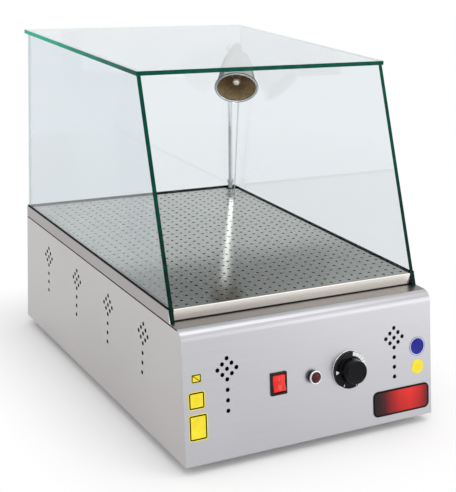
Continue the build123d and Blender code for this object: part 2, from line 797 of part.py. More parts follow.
def make_heater_leads():
    """Switch and thermostat to the two ends of the heating element."""
    switch_back, thermo_back = housing_d + blade_l, sheet + thermostat_d + blade_l
    s, z = control_s + blade_ds, well_floor_z + element_lift
    y = well_front - jacket_t - shield_t - element_tail
    leads = []
    for side, x, back in ((-1, switch_x - blade_dx, switch_back), (1, knob_x + thermo_blade_dx, thermo_back)):
        x_end = side * element_pitch * 1.5
        out = behind(x, s, back + lead_run)
        leads.append(lead([behind(x, s, back), out, (x_end - side * 14, out.Y, z - 20),
                           (x_end, y - 1.5 * lead_run, z), (x_end, y, z)], lead_r))
    return leads


def make_lamp_lead():
    """Out of the lamp's stem, down the back corner and across to the terminal block."""
    y = block_front + block_size[1] / 2
    side = block_x + block_size[0] / 2
    start, low = post * Pos(0, 0, stem_start + 3), post * Pos(0, 0, -90)
    return lead([start.position, low.position, (post_x - 12, post_y - 10, floor_z + 20),
                 (post_x - 52, post_y - 14, floor_z), (side + 60, y, floor_z),
                 (side, y + 0.01, floor_z)], lead_r)


# Lamp: the post's own frame stands on the deck, the head's frame has its origin in the
# ball and X along the pivot, and the lamp's frame has Z out through the mouth of the shade.
post = Location((post_x, post_y, deck_z), (0, -post_lean, 0))
ball = post * Pos(0, 0, ball_height)
pivot_seat = ball_r - pivot_recess
head = Location(ball.position, (0, 0, -lamp_heading))
lamp = head * Pos(lamp_offset, 0, 0) * Rot(90 + lamp_dip, 0, 0)


def thumb_screw(r):
    """Through collar and sleeve, towards the stem."""
    turn = Pos(0, 0, sleeve_l - 1 - collar_h / 2) * Rot(0, 0, -lamp_heading) * Rot(90, 0, 0)
    return turn * disc(r, stem_r + thumb_gap, collar_r + thumb_l)


def make_sleeve():
    """The stem stands on a shoulder in its bore."""
    foot = Pos(post_x, post_y, deck_z) * disc(post_foot_r, 0, post_foot_t)
    solid = foot + post * disc(sleeve_r, post_foot_t / 2, sleeve_l)
    solid -= post * disc(stem_bore_r, -3, sleeve_l)
    solid -= post * disc(stem_r + stem_fit, stem_start - stem_seat_gap, sleeve_l + 1)
    return solid - post * thumb_screw(thumb_r)


def make_collar():
    ring = tube(collar_r, sleeve_r, sleeve_l - collar_h - 1, sleeve_l - 1)
    return post * (ring + thumb_screw(thumb_r))


def make_stem():
    top = ball_height - sqrt(ball_r ** 2 - stem_r ** 2)
    return post * tube(stem_r, stem_bore_r, stem_start, top)


def make_knuckle():
    solid = head * Sphere(ball_r)
    flat = lamp_offset - neck_r - pivot_gap
    solid -= head * (Pos(flat + ball_r, 0, 0) * Box(2 * ball_r, 3 * ball_r, 3 * ball_r))
    solid -= head * Rot(0, 90, 0) * disc(pivot_head_r, -2 * ball_r, -pivot_seat)
    solid -= head * Rot(0, 90, 0) * Cylinder(pivot_r, 4 * ball_r)
    top = ball_height - sqrt(ball_r ** 2 - stem_r ** 2)
    return solid - post * disc(2 * stem_r, 0, top)


def make_pivot_screw():
    end = lamp_offset + neck_r + pivot_gap
    solid = disc(pivot_r, -pivot_seat, end)
    solid += disc(pivot_head_r, -pivot_seat - pivot_head_t, -pivot_seat)
    solid += disc(pivot_head_r, end, end + pivot_head_t)
    return head * Rot(0, 90, 0) * solid


def make_neck():
    solid = turned([(0, -neck_back), (neck_r - 1.5, -neck_back), (neck_r, 1.5 - neck_back),
                    (neck_r, neck_front), (0, neck_front)])
    solid -= disc(neck_r - 1.2, 4.0, neck_front + 1)
    solid -= Rot(0, 90, 0) * Cylinder(pivot_r + pivot_fit, 4 * neck_r)
    return lamp * solid


def shade_profile(shrink):
    """Radius and distance of the shade's outline, moved in by shrink."""
    return [(r - shrink, z) for z, r in shade_outline]


def make_shade():
    outer = shade_profile(0)
    inner = shade_profile(shade_t)
    z0 = shade_outline[0][0]
    curve_out = Spline(*[(r, 0, z) for r, z in outer])
    curve_in = Spline(*[(r, 0, z + (shade_t if k == 0 else 0)) for k, (r, z) in enumerate(inner)])
    mouth = Line(curve_out @ 1, curve_in @ 1)
    crown = Polyline(curve_in @ 0, (neck_r, 0, z0 + shade_t), (neck_r, 0, z0), curve_out @ 0)
    solid = revolve(make_face([curve_out, mouth, curve_in, crown]), Axis.Z)
    r_mouth, z_mouth = outer[-1]
    solid += Pos(0, 0, z_mouth - rim_r) * Torus(r_mouth - rim_r * 0.5, rim_r)
    return lamp * solid


def make_holder():
    solid = disc(neck_r - 1.2, 5.0, neck_front) + disc(neck_r + 1, neck_front, neck_front + 8)
    solid += disc(holder_r, neck_front + 8, holder_front)
    solid -= disc(bulb_r - 1.4, holder_front - 14, holder_front + 1)
    return lamp * solid


def make_bulb():
    base = holder_front - 14
    tip = bulb_front - bulb_r
    solid = disc(bulb_r - 1.5, base, holder_front + 1)
    solid += disc(bulb_r, holder_front + 0.5, tip) + Pos(0, 0, tip) * Sphere(bulb_r)
    return lamp * solid


# The pieces by name

parts["fascia_deck"] = make_fascia_deck()
parts["side_panel_left"] = make_side_panel(-1)
parts["side_panel_right"] = make_side_panel(1)
parts["back_panel"] = make_back_panel()
parts["base_plate"] = make_base_plate()
for name, (x, y) in zip(foot_names, foot_spots):
    parts[name] = make_foot(x, y)
parts["foot_screws"] = make_foot_screws()
parts["back_panel_screws"] = make_back_screws()
parts["heater_well"] = make_well()
parts["heating_element"] = make_element()
parts["element_clips"] = make_clips()
parts["insulation_jacket"] = make_jacket()
parts["heat_shield"] = make_shield()
parts["tray_rail_left"] = make_rail(-1)
parts["tray_rail_right"] = make_rail(1)
parts["perforated_tray"] = make_tray()
parts["glass_left"] = make_glass_side(-1)
parts["glass_right"] = make_glass_side(1)
parts["glass_back"] = make_glass_back()
parts["glass_top"] = make_glass_top()
parts["seal_left"] = make_side_seal(-1)
parts["seal_right"] = make_side_seal(1)
parts["seal_back"] = make_back_seal()
parts["switch_body"] = make_switch_body()
parts["switch_rocker"] = make_rocker()
parts["terminal_blades"] = make_blades()
parts.update(make_indicator())
parts["thermostat_body"] = make_thermostat_body()
parts["thermostat_screws"] = make_thermostat_screws()
parts["thermostat_shaft"] = make_shaft()
parts["thermostat_knob"] = make_knob()
parts["knob_pointer"] = make_pointer()
parts["dial_ring"] = make_dial_ring()
parts["capillary_tube"] = make_capillary()
parts["sensing_bulb"] = make_sensor()
parts["labels_yellow"] = make_yellow_labels()
parts["label_blue"] = make_disc_label(round_label)
parts["name_plate"] = rounded_plate(1, plate_label, plate_t, label_corner)
parts["cord_gland"] = make_gland()
parts["gland_nut"] = make_gland_nut()
parts["terminal_block"] = make_terminal_block()
parts["base_leads"] = make_base_leads()
parts["heater_leads"] = make_heater_leads()
parts["lamp_lead"] = make_lamp_lead()
parts["lamp_sleeve"] = make_sleeve()
parts["lamp_collar"] = make_collar()
parts["lamp_stem"] = make_stem()
parts["lamp_knuckle"] = make_knuckle()
parts["lamp_pivot_screw"] = make_pivot_screw()
parts["lamp_neck"] = make_neck()
parts["lamp_shade"] = make_shade()
parts["lamp_holder"] = make_holder()
parts["lamp_bulb"] = make_bulb()

os.makedirs("parts", exist_ok=True)
for name, shape in parts.items():
    solids = shape if isinstance(shape, list) else [shape]
    solids = [s for item in solids for s in item.solids()]
    whole = Compound(solids) if len(solids) > 1 else solids[0]
    export_step(Pos(0, -mid_y, 0) * whole, f"parts/{name}.step")
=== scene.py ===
import bpy
import bmesh
import json
import math
from mathutils import Matrix, Vector


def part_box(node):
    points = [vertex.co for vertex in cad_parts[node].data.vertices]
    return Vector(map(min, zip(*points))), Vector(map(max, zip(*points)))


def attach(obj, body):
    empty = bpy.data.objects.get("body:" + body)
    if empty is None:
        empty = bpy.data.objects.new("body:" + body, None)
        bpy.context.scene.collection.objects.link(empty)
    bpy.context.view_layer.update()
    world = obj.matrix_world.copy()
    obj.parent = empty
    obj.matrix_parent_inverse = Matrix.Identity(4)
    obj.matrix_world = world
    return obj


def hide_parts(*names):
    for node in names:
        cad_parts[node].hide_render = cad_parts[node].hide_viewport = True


# Heated display case for a counter: the looks of every piece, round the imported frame.
# The frame is in metres. Sizes in the dictionaries are in millimetres and degrees.

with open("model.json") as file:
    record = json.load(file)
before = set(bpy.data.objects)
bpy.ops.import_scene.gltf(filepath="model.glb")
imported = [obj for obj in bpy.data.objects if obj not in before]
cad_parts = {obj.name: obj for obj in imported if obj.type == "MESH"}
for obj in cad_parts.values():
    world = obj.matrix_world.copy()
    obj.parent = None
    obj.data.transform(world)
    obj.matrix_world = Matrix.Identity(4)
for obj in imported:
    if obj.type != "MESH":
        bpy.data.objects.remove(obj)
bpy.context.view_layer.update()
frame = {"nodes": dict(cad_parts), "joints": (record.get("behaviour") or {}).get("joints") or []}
nodes = frame["nodes"]
joints = {joint["name"]: joint for joint in frame["joints"]}
scene = bpy.context.scene
mm = 0.001
toMetres = Matrix.Scale(mm, 4)
mergeGap = 0.0005        # of a shape in millimetres
nodeMergeGap = 0.000002  # of a node, in metres
print("frame loaded:", len(nodes), "nodes")

# Everything on the fascia is measured from the body's lower front left corner.
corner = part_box("fascia_deck")[0]
outward = Vector(joints["knob_turn"]["axis"]).normalized()
fascia = Matrix.Translation((0, corner.y, corner.z)) @ Matrix((
    (1, 0, 0, 0),
    (0, outward.z, outward.y, 0),
    (0, -outward.y, outward.z, 0),
    (0, 0, 0, 1)))


def middleOf(node):
    low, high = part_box(node)
    return (low + high) / 2


def onFascia(point):
    # a place on the outer face of the fascia, in millimetres, with Z out of it
    local = fascia.inverted() @ Vector(point)
    return fascia @ Matrix.Translation((local.x, local.y, 0)) @ toMetres


def alongFascia(x, along):
    return fascia @ toMetres @ Matrix.Translation((x, along, 0))


# Shader helpers

def colour(text):
    # a screen colour such as "C4C4C6" as the shader's own linear one
    parts = [int(text[k:k + 2], 16) / 255 for k in (0, 2, 4)]
    return tuple(p / 12.92 if p <= 0.04045 else ((p + 0.055) / 1.055) ** 2.4 for p in parts) + (1.0,)


def grey(level):
    return (level, level, level, 1)


def startMaterial(name, settings):
    material = bpy.data.materials.new(name)
    material.use_nodes = True
    tree = material.node_tree
    shader = tree.nodes["Principled BSDF"]
    for socket, value in settings.items():
        shader.inputs[socket].default_value = value
    return material, tree, shader


def overObject(tree, scale=(1, 1, 1)):
    spot = tree.nodes.new("ShaderNodeTexCoord")
    mapping = tree.nodes.new("ShaderNodeMapping")
    mapping.inputs["Scale"].default_value = scale
    tree.links.new(spot.outputs["Object"], mapping.inputs["Vector"])
    return mapping.outputs["Vector"]


def axesOver(tree):
    # the place on the object as its three numbers
    split = tree.nodes.new("ShaderNodeSeparateXYZ")
    tree.links.new(overObject(tree), split.inputs["Vector"])
    return split.outputs


def noiseOver(tree, place, scale, detail=3.0):
    noise = tree.nodes.new("ShaderNodeTexNoise")
    noise.inputs["Scale"].default_value = scale
    noise.inputs["Detail"].default_value = detail
    tree.links.new(place, noise.inputs["Vector"])
    return noise.outputs["Fac"]


def rampOver(tree, value, stops):
    ramp = tree.nodes.new("ShaderNodeValToRGB")
    elements = ramp.color_ramp.elements
    while len(elements) < len(stops):
        elements.new(0.5)
    for element, (position, shade) in zip(elements, stops):
        element.position = position
        element.color = shade
    tree.links.new(value, ramp.inputs["Fac"])
    return ramp.outputs["Color"]


def rangeOver(tree, value, low, high, fromLow=0.3, fromHigh=0.7):
    spread = tree.nodes.new("ShaderNodeMapRange")
    for socket, number in (("From Min", fromLow), ("From Max", fromHigh), ("To Min", low), ("To Max", high)):
        spread.inputs[socket].default_value = number
    tree.links.new(value, spread.inputs["Value"])
    return spread.outputs["Result"]


def mathOver(tree, operation, *values, clamp=False):
    step = tree.nodes.new("ShaderNodeMath")
    step.operation = operation
    step.use_clamp = clamp
    for socket, value in zip(step.inputs, values):
        if isinstance(value, float):
            socket.default_value = value
        else:
            tree.links.new(value, socket)
    return step.outputs[0]


def bumpOver(tree, shader, height, depth):
    bump = tree.nodes.new("ShaderNodeBump")
    bump.inputs["Distance"].default_value = depth * mm
    tree.links.new(height, bump.inputs["Height"])
    tree.links.new(bump.outputs["Normal"], shader.inputs["Normal"])


def lightPath(tree, *names):
    # the largest of these Light Path outputs
    path = tree.nodes.new("ShaderNodeLightPath")
    value = path.outputs[names[0]]
    for name in names[1:]:
        value = mathOver(tree, "MAXIMUM", value, path.outputs[name])
    return value


def mixShaders(tree, share, first, second, end="Material Output"):
    mix = tree.nodes.new("ShaderNodeMixShader")
    for socket, source in zip(mix.inputs, (share, first, second)):
        tree.links.new(source, socket)
    tree.links.new(mix.outputs[0], tree.nodes[end].inputs["Surface"])


# Finishes

def brushedMetal(name, look):
    material, tree, shader = startMaterial(name, {"Metallic": look.get("metal", 1.0)})
    grain = noiseOver(tree, overObject(tree, look["grain"]), 1.0, 4.0)
    cloud = noiseOver(tree, overObject(tree), look["cloud"], 2.0)
    base = rampOver(tree, cloud, [(0.25, colour(look["dark"])), (0.75, colour(look["light"]))])
    streak = tree.nodes.new("ShaderNodeMix")
    streak.data_type = "RGBA"
    streak.blend_type = "MULTIPLY"
    streak.inputs["Factor"].default_value = 1.0
    tree.links.new(base, streak.inputs["A"])
    shades = rampOver(tree, grain, [(0.3, grey(1.0 - look["streaks"])), (0.7, grey(1))])
    tree.links.new(shades, streak.inputs["B"])
    tree.links.new(streak.outputs["Result"], shader.inputs["Base Color"])
    tree.links.new(rangeOver(tree, grain, *look["rough"]), shader.inputs["Roughness"])
    bumpOver(tree, shader, grain, look["depth"])
    return material


def plainSurface(name, look):
    # moulded, painted or cast surface: colour clouds, uneven gloss and a fine texture
    material, tree, shader = startMaterial(name, look["sockets"])
    place = overObject(tree)
    cloud = noiseOver(tree, place, look["cloud"], 3.0)
    base = rampOver(tree, cloud, [(0.3, colour(look["dark"])), (0.7, colour(look["light"]))])
    tree.links.new(base, shader.inputs["Base Color"])
    tree.links.new(rangeOver(tree, cloud, *look["rough"]), shader.inputs["Roughness"])
    bumpOver(tree, shader, noiseOver(tree, place, look["fine"], 2.0), look["depth"])
    return material


metalKeys = ("dark", "light", "grain", "cloud", "streaks", "rough", "depth")   # grain along X, Y and Z
metalRows = {
    "steelAcross": ("BABABE", "C0C0C4", (9, 900, 900), 4.0, 0.05, (0.30, 0.38), 0.004),
    "galvanised": ("A6A8AA", "C2C4C5", (60, 60, 60), 55.0, 0.10, (0.34, 0.52), 0.02),
    # the heater well's aluminium is painted dark: painted shade inside the closed body, seen through the
    # tray's holes
    "shadedWellAluminium": ("3C3A38", "57534F", (700, 12, 700), 9.0, 0.06, (0.36, 0.46), 0.006),
    "trayMetal": ("AAABA5", "B3B4AD", (14, 800, 800), 7.0, 0.05, (0.13, 0.18), 0.001),
    "zinc": ("B9BBBE", "D2D4D6", (350, 350, 350), 90.0, 0.06, (0.18, 0.28), 0.006),
    "chrome": ("DADCDF", "E8EAEC", (200, 200, 200), 60.0, 0.03, (0.06, 0.12), 0.001),
    "satinNickel": ("B4B4B1", "C4C4C1", (300, 300, 300), 30.0, 0.05, (0.16, 0.26), 0.002),
    "bronzeInside": ("A88E6C", "CCB490", (260, 260, 260), 45.0, 0.10, (0.24, 0.36), 0.004),
    "copper": ("A5643B", "C2855A", (400, 60, 400), 40.0, 0.10, (0.22, 0.34), 0.003),
    "brass": ("B39243", "CBAA5B", (300, 300, 300), 60.0, 0.08, (0.24, 0.34), 0.003),
    "hotSteel": ("2E2C2B", "6A6058", (120, 30, 120), 16.0, 0.20, (0.40, 0.58), 0.01),
}
metals = {name: dict(zip(metalKeys, row)) for name, row in metalRows.items()}
metals["bronzeInside"]["metal"] = 0.35
for name, start, changes in (
        ("steelDeep", "steelAcross", {"dark": "C4C0C0", "light": "CAC7C6", "grain": (900, 9, 900)}),
        ("steelUp", "steelAcross", {"grain": (900, 900, 9)}),
        # the deck's upward faces: a darker copy of the sheet's steel, painted shade standing in for their
        # dim reflection
        ("shadedLedgeSteel", "steelAcross", {"dark": "817D79", "light": "898581"}),
        # the flange's outer face: a darker, pinker copy of the sheet's steel, painted shade
        ("shadedBandSteel", "steelAcross", {"dark": "A8A3A2", "light": "B0ABAA", "grain": (900, 9, 900)}),
        # the tray's folded front: a lighter copy of the tray metal, painted light
        ("trayRim", "trayMetal", {"dark": "E8E2DC", "light": "EFEAE5", "rough": (0.26, 0.34)}),
        # the outer part of the shade's rim: a dark copy of the nickel, a painted reflection
        ("darkReflectionNickel", "satinNickel", {"dark": "3A3733", "light": "4A4640"})):
    metals[name] = dict(metals[start], **changes)

plainKeys = ("dark", "light", "cloud", "rough", "fine", "depth")   # fine is the texture's scale
plainRows = {
    "rubber": ("161617", "222223", 60.0, (0.62, 0.78), 900.0, 0.03),
    "sealRubberAndSeamShade": ("060607", "0C0C0D", 30.0, (0.50, 0.62), 700.0, 0.01),
    "blackPlastic": ("0C0C0E", "131316", 80.0, (0.24, 0.36), 1600.0, 0.006),
    "knobPlastic": ("050407", "0A080C", 70.0, (0.16, 0.22), 1500.0, 0.003),
    "redPlastic": ("CC1410", "EE2C22", 120.0, (0.18, 0.26), 600.0, 0.004),
    "redPrint": ("EC5A50", "F27268", 90.0, (0.40, 0.55), 1400.0, 0.004),
    "holeShade": ("161412", "2A2723", 160.0, (0.60, 0.80), 900.0, 0.01),
    "opalGlass": ("F2ECDE", "FBF7EE", 200.0, (0.22, 0.30), 900.0, 0.004),
    "lensPlastic": ("2E020A", "5A0A15", 300.0, (0.05, 0.10), 500.0, 0.002),
    "whiteMark": ("DCDCD8", "F0F0EC", 200.0, (0.45, 0.60), 1500.0, 0.004),
    "steatite": ("B8B2A2", "D0CBBC", 70.0, (0.50, 0.66), 700.0, 0.03),
    "ceramicBrown": ("6E5540", "9A8064", 110.0, (0.28, 0.42), 900.0, 0.01),
    "woolFibre": ("A79C62", "D6CE9E", 260.0, (0.90, 1.00), 1100.0, 0.6),
    "blockNylon": ("D2D1CA", "E6E5DF", 50.0, (0.38, 0.50), 800.0, 0.01),
    "silicone": ("1E1E21", "34343A", 90.0, (0.48, 0.60), 900.0, 0.02),
    "yellowFilm": ("E6CE00", "F4E214", 60.0, (0.30, 0.42), 1200.0, 0.004),
    "blueFilm": ("1A1E7E", "262C96", 60.0, (0.26, 0.36), 1200.0, 0.004),
    "blackInk": ("080706", "0F0E0C", 90.0, (0.40, 0.55), 1400.0, 0.004),
    "whiteInk": ("E2E4E8", "F2F3F6", 90.0, (0.40, 0.55), 1400.0, 0.004),
}
specular = {"sealRubberAndSeamShade": 0.08, "blackPlastic": 0.25, "knobPlastic": 0.14, "redPlastic": 0.3,
            "holeShade": 0.2, "lensPlastic": 0.2, "blueFilm": 0.15, "blackInk": 0.1}
plains = {name: dict(zip(plainKeys, row), sockets={}) for name, row in plainRows.items()}
for name, level in specular.items():
    plains[name]["sockets"]["Specular IOR Level"] = level
plains["redPlastic"]["sockets"].update({"Subsurface Weight": 0.25, "Subsurface Scale": 0.003})
plains["opalGlass"]["sockets"]["Metallic"] = 0.7
plains["lensPlastic"]["sockets"].update({"Coat Weight": 0.2, "Coat Roughness": 0.03})
finishes = {name: brushedMetal(name, look) for name, look in metals.items()}
finishes.update({name: plainSurface(name, look) for name, look in plains.items()})


def clearGlass(name, look):
    # faintly wavy clear glass, which light passes straight through for shadows and soft light
    material, tree, shader = startMaterial(name, {
        "Base Color": look["tint"], "Transmission Weight": 1.0, "IOR": look["ior"], "Roughness": 0.0})
    bumpOver(tree, shader, noiseOver(tree, overObject(tree), look["waves"], 1.0), look["depth"])
    clear = tree.nodes.new("ShaderNodeBsdfTransparent")
    clear.inputs["Color"].default_value = look["shade"]
    mixShaders(tree, lightPath(tree, "Is Shadow Ray", "Is Diffuse Ray"), shader.outputs[0], clear.outputs[0])
    return material


def glassEdge(name, look):
    # polished edge, painted brighter towards the back of the case: painted light
    settings = {"Roughness": look["rough"], "Specular IOR Level": look["gloss"]}
    material, tree, shader = startMaterial(name, settings)
    depth = rangeOver(tree, axesOver(tree)["Y"], 0.0, 1.0, look["from"] * mm, look["to"] * mm)
    streaks = noiseOver(tree, overObject(tree, look["grain"]), 1.0, 2.0)
    share = mathOver(tree, "MULTIPLY_ADD", streaks, look["streaks"], depth)
    stops = [(place, colour(shade)) for place, shade in look["stops"]]
    tree.links.new(rampOver(tree, share, stops), shader.inputs["Base Color"])
    return material


paneGlass = {"tint": (0.82, 0.86, 0.885, 1), "shade": (0.93, 0.96, 0.96, 1), "ior": 1.45, "waves": 5.0,
             "depth": 0.02}
topGlass = dict(paneGlass, tint=(0.80, 0.85, 0.875, 1))
bulbGlass = {"tint": (0.97, 0.98, 0.97, 1), "shade": (0.95, 0.96, 0.95, 1), "ior": 1.45, "waves": 60.0,
             "depth": 0.02}
edgeGreen = {"from": -240, "to": 300, "grain": (90, 25, 90), "streaks": 0.3, "rough": 0.22, "gloss": 0.06,
             "stops": [(0.12, "00140F"), (0.40, "004F3D"), (0.75, "008A6E"), (1.0, "00B08C")]}
edgePaleLit = dict(edgeGreen, stops=[(0.1, "BCC7C9"), (0.5, "CBD4D6"), (1.0, "D8DFE1")])
edgePaleLit["from"] = -160
for name, look in (("paneGlass", paneGlass), ("topGlass", topGlass), ("bulbGlass", bulbGlass)):
    finishes[name] = clearGlass(name, look)
for name, look in (("edgePaleLit", edgePaleLit), ("edgeGreen", edgeGreen)):
    finishes[name] = glassEdge(name, look)
print("finishes made:", len(finishes))

# Carried-over nodes keep their shape and get their finish here.
nodeFinishes = {
    "steelUp": ["back_panel"],
    "galvanised": ["base_plate", "heat_shield", "element_clips", "tray_rail_left", "tray_rail_right"],
    "shadedWellAluminium": ["heater_well"],
    "zinc": ["indicator_nut", "thermostat_screws"],
    "sealRubberAndSeamShade": ["seal_left", "seal_right", "seal_back"],
    "woolFibre": ["insulation_jacket"],
    "steatite": ["thermostat_body"],
    "blockNylon": ["terminal_block"],
    "brass": ["terminal_blades"],
    "blackPlastic": ["gland_nut"],
}
for finish, names in nodeFinishes.items():
    for node in names:
        nodes[node].data.materials.clear()
        nodes[node].data.materials.append(finishes[finish])


# Mesh helpers

def settle(bm, place):
    # closes the shape, turns its faces outwards and puts it in its place
    bmesh.ops.remove_doubles(bm, verts=bm.verts, dist=mergeGap)
    bmesh.ops.recalc_face_normals(bm, faces=bm.faces)
    bmesh.ops.transform(bm, matrix=place, verts=bm.verts)


def meshOf(name, bm):
    mesh = bpy.data.meshes.new(name)
    bm.to_mesh(mesh)
    bm.free()
    return mesh


def addPiece(name, bm, finishNames, body, replaced=(), sharpAngle=32):
    mesh = meshOf(name, bm)
    mesh.polygons.foreach_set("use_smooth", [True] * len(mesh.polygons))
    mesh.set_sharp_from_angle(angle=math.radians(sharpAngle))
    for finish in finishNames:
        mesh.materials.append(finishes[finish])
    piece = bpy.data.objects.new(name, mesh)
    scene.collection.objects.link(piece)
    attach(piece, body)
    if replaced:
        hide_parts(*replaced)
    return piece


def joinedName(node):
    # "lamp_stem" as "lampStem"
    first, *others = node.split("_")
    return first + "".join(word.capitalize() for word in others)


def smoothCopy(node, name, finishNames, body, sharpAngle=32, levels=()):
    # the node's own shape, merged so that its round faces shade smoothly, and parted at some levels
    bm = bmesh.new()
    bm.from_mesh(nodes[node].data)
    bmesh.ops.remove_doubles(bm, verts=bm.verts, dist=nodeMergeGap)
    for level in levels:
        bmesh.ops.bisect_plane(bm, geom=bm.verts[:] + bm.edges[:] + bm.faces[:], dist=0.000001,
                               plane_co=(0, 0, level), plane_no=(0, 0, 1))
    piece = addPiece(name, bm, finishNames, body, (node,), sharpAngle)
    weighted = piece.modifiers.new("flatFaces", "WEIGHTED_NORMAL")
    weighted.keep_sharp = True
    return piece


def addTo(whole, one):
    mesh = meshOf("part", one)
    whole.from_mesh(mesh)
    bpy.data.meshes.remove(mesh)


def gather(pieces):
    # several small shapes as one
    whole = bmesh.new()
    for one in pieces:
        addTo(whole, one)
    return whole


def spinProfile(bm, points, steps=64, finish=0):
    # a round shape about Z from (radius, height) points
    rim = [bm.verts.new((radius, 0, height)) for radius, height in points]
    edges = [bm.edges.new(pair) for pair in zip(rim, rim[1:])]
    before = set(bm.faces)
    bmesh.ops.spin(bm, geom=rim + edges, cent=(0, 0, 0), axis=(0, 0, 1), angle=math.tau, steps=steps,
                   use_merge=True)
    made = [face for face in bm.faces if face not in before]
    for face in made:
        face.material_index = finish
    return made


def grow(bm, face, by):
    # draws a face out into a solid
    grown = bmesh.ops.extrude_face_region(bm, geom=[face])
    moved = [part for part in grown["geom"] if isinstance(part, bmesh.types.BMVert)]
    bmesh.ops.translate(bm, verts=moved, vec=by)


def bevelSharp(bm, width, segments=2, angle=30, among=None):
    limit = math.radians(angle)
    edges = among if among is not None else bm.edges
    sharp = [edge for edge in edges if len(edge.link_faces) == 2 and edge.calc_face_angle() > limit]
    bmesh.ops.bevel(bm, geom=sharp, offset=width, offset_type="OFFSET", segments=segments, profile=0.5,
                    affect="EDGES", material=-1, clamp_overlap=True)


def topFace(bm):
    return max(bm.faces, key=lambda face: face.calc_center_median().z)


def roundUprights(bm, radius, segments, taller):
    upright = [edge for edge in bm.edges if abs(edge.verts[0].co.z - edge.verts[1].co.z) > taller]
    bmesh.ops.bevel(bm, geom=upright, offset=radius, segments=segments, profile=0.5, affect="EDGES",
                    material=-1)


def addBox(bm, size, place, finish=0):
    made = bmesh.ops.create_cube(bm, size=1.0, matrix=place @ Matrix.Diagonal((*size, 1)))
    for face in {face for vert in made["verts"] for face in vert.link_faces}:
        face.material_index = finish


def arcPoints(radius, start, end, count, centre=(0, 0)):
    angles = [math.radians(start + (end - start) * k / count) for k in range(count + 1)]
    return [(centre[0] + radius * math.cos(a), centre[1] + radius * math.sin(a)) for a in angles]


def waveRound(bm, chosen, count, depth):
    # flutes: draws the chosen points in and out round Z
    for vert in bm.verts:
        radius = math.hypot(vert.co.x, vert.co.y)
        if chosen(radius, vert.co.z):
            turn = math.atan2(vert.co.y, vert.co.x) * count
            scale = 1 - depth * (0.5 + 0.5 * math.cos(turn)) / radius
            vert.co.x *= scale
            vert.co.y *= scale


# Body sheet with its rounded front edge; a black strip of painted shade, for the shadowed gap, parts its
# flange from the panels under it

seam = {"above": 0.9, "below": 1.0, "sheetSide": 0.1985}   # the last is in metres from the middle
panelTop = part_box("side_panel_left")[1].z
sheetFinishes = ["steelAcross", "shadedBandSteel", "sealRubberAndSeamShade", "shadedLedgeSteel"]
bodySheet = smoothCopy("fascia_deck", "fasciaAndDeck", sheetFinishes, "root", 25,
                       (panelTop + seam["above"] * mm,))
for face in bodySheet.data.polygons:
    normal, spot = face.normal, face.center
    outer = normal.x * spot.x > 0 and abs(spot.x) > seam["sheetSide"]
    # outer faces of the flange get the darker band steel: painted shade
    if abs(normal.x) > 0.4 and spot.z > panelTop and outer:
        # the strip just above the panels is black: painted shade of the gap
        face.material_index = 1 if spot.z > panelTop + seam["above"] * mm else 2
    # faces looking up get the darker ledge steel: painted shade
    elif normal.z > 0.99 and spot.z > panelTop:
        face.material_index = 3


# Punched sheets: the walls of their holes get painted shade, and the tray's folded front is a lighter copy
# of the tray metal, painted light

punched = {"side_panel_left": ("steelDeep", "root", "steel_brushed"),
           "side_panel_right": ("steelDeep", "root", "steel_brushed"),
           "perforated_tray": ("trayMetal", "tray", "tray_aluminium")}
holes = {"panelMargin": 9.0, "trayMargin": 4.0, "skin": 1.6, "fold": 2.0}


def makePunched(node, finish, body, slot):
    low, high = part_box(node)
    tray = node == "perforated_tray"
    seamLow = high.z - seam["below"] * mm
    piece = smoothCopy(node, joinedName(node), [finish, "holeShade", "trayRim", "sealRubberAndSeamShade"], body, 25,
                       () if tray else (seamLow,))
    margin = holes["trayMargin" if tray else "panelMargin"] * mm
    skin = holes["skin"] * mm
    for face in piece.data.polygons:
        spot, normal = face.center, face.normal
        deep = low.y + margin < spot.y < high.y - margin
        if tray:
            inside = low.x + margin < spot.x < high.x - margin and deep
            # hole walls get painted shade
            if inside and abs(normal.z) < 0.3 and spot.z > high.z - skin:
                face.material_index = 1
            # the folded front gets the lighter rim copy: painted light
            elif spot.y < low.y + holes["fold"] * mm and normal.y < -0.5:
                face.material_index = 2
        else:
            inside = low.z + margin < spot.z < high.z - margin and deep
            outer = max(abs(low.x), abs(high.x)) - skin
            if inside and abs(normal.x) < 0.3 and abs(spot.x) > outer:
                face.material_index = 1
            # the panel's top strip is black: painted shade of the gap under the flange
            elif spot.z > seamLow and normal.x * spot.x > 0:
                face.material_index = 3


for node, settings in punched.items():
    makePunched(node, *settings)
print("body sheets dressed")


# Glass panes: a slab with arrised edges, clear faces, green edges in front and pale ones behind, the pale
# and brighter edges being painted light

pane = {"arris": 0.5, "slope": 0.398}
paneNodes = {"glass_left": 0, "glass_right": 0, "glass_back": 1, "glass_top": 2}   # thin along X, Y or Z


def makePane(node, name, thin):
    low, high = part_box(node)
    bm = bmesh.new()
    middle, size = (low + high) / 2, high - low
    addBox(bm, size, Matrix.Translation(middle), 1)
    if thin == 0:
        # the front edge goes back as it rises
        for vert in bm.verts:
            if vert.co.z > middle.z and vert.co.y < middle.y:
                vert.co.y += pane["slope"] * size.z
    bevelSharp(bm, pane["arris"] * mm, 1)
    # pale edges are painted light on edges seen through the glass
    paleSide = {0: 2, 2: 0}.get(thin)   # the upright panes' tops and the top pane's right side are pale
    for face in bm.faces:
        normal = face.normal
        if abs(normal[thin]) > 0.99:
            face.material_index = 0
        elif thin == 1 or normal.y > 0.5 or normal[paleSide] > 0.5:
            face.material_index = 2
    clear = "topGlass" if thin == 2 else "paneGlass"
    addPiece(name, bm, [clear, "edgeGreen", "edgePaleLit"], "root", (node,), 20)


for node, thin in paneNodes.items():
    makePane(node, node.replace("_", "Pane_"), thin)
print("glass panes made")


# Switch: moulded bezel, and a rocker with two sloping halves

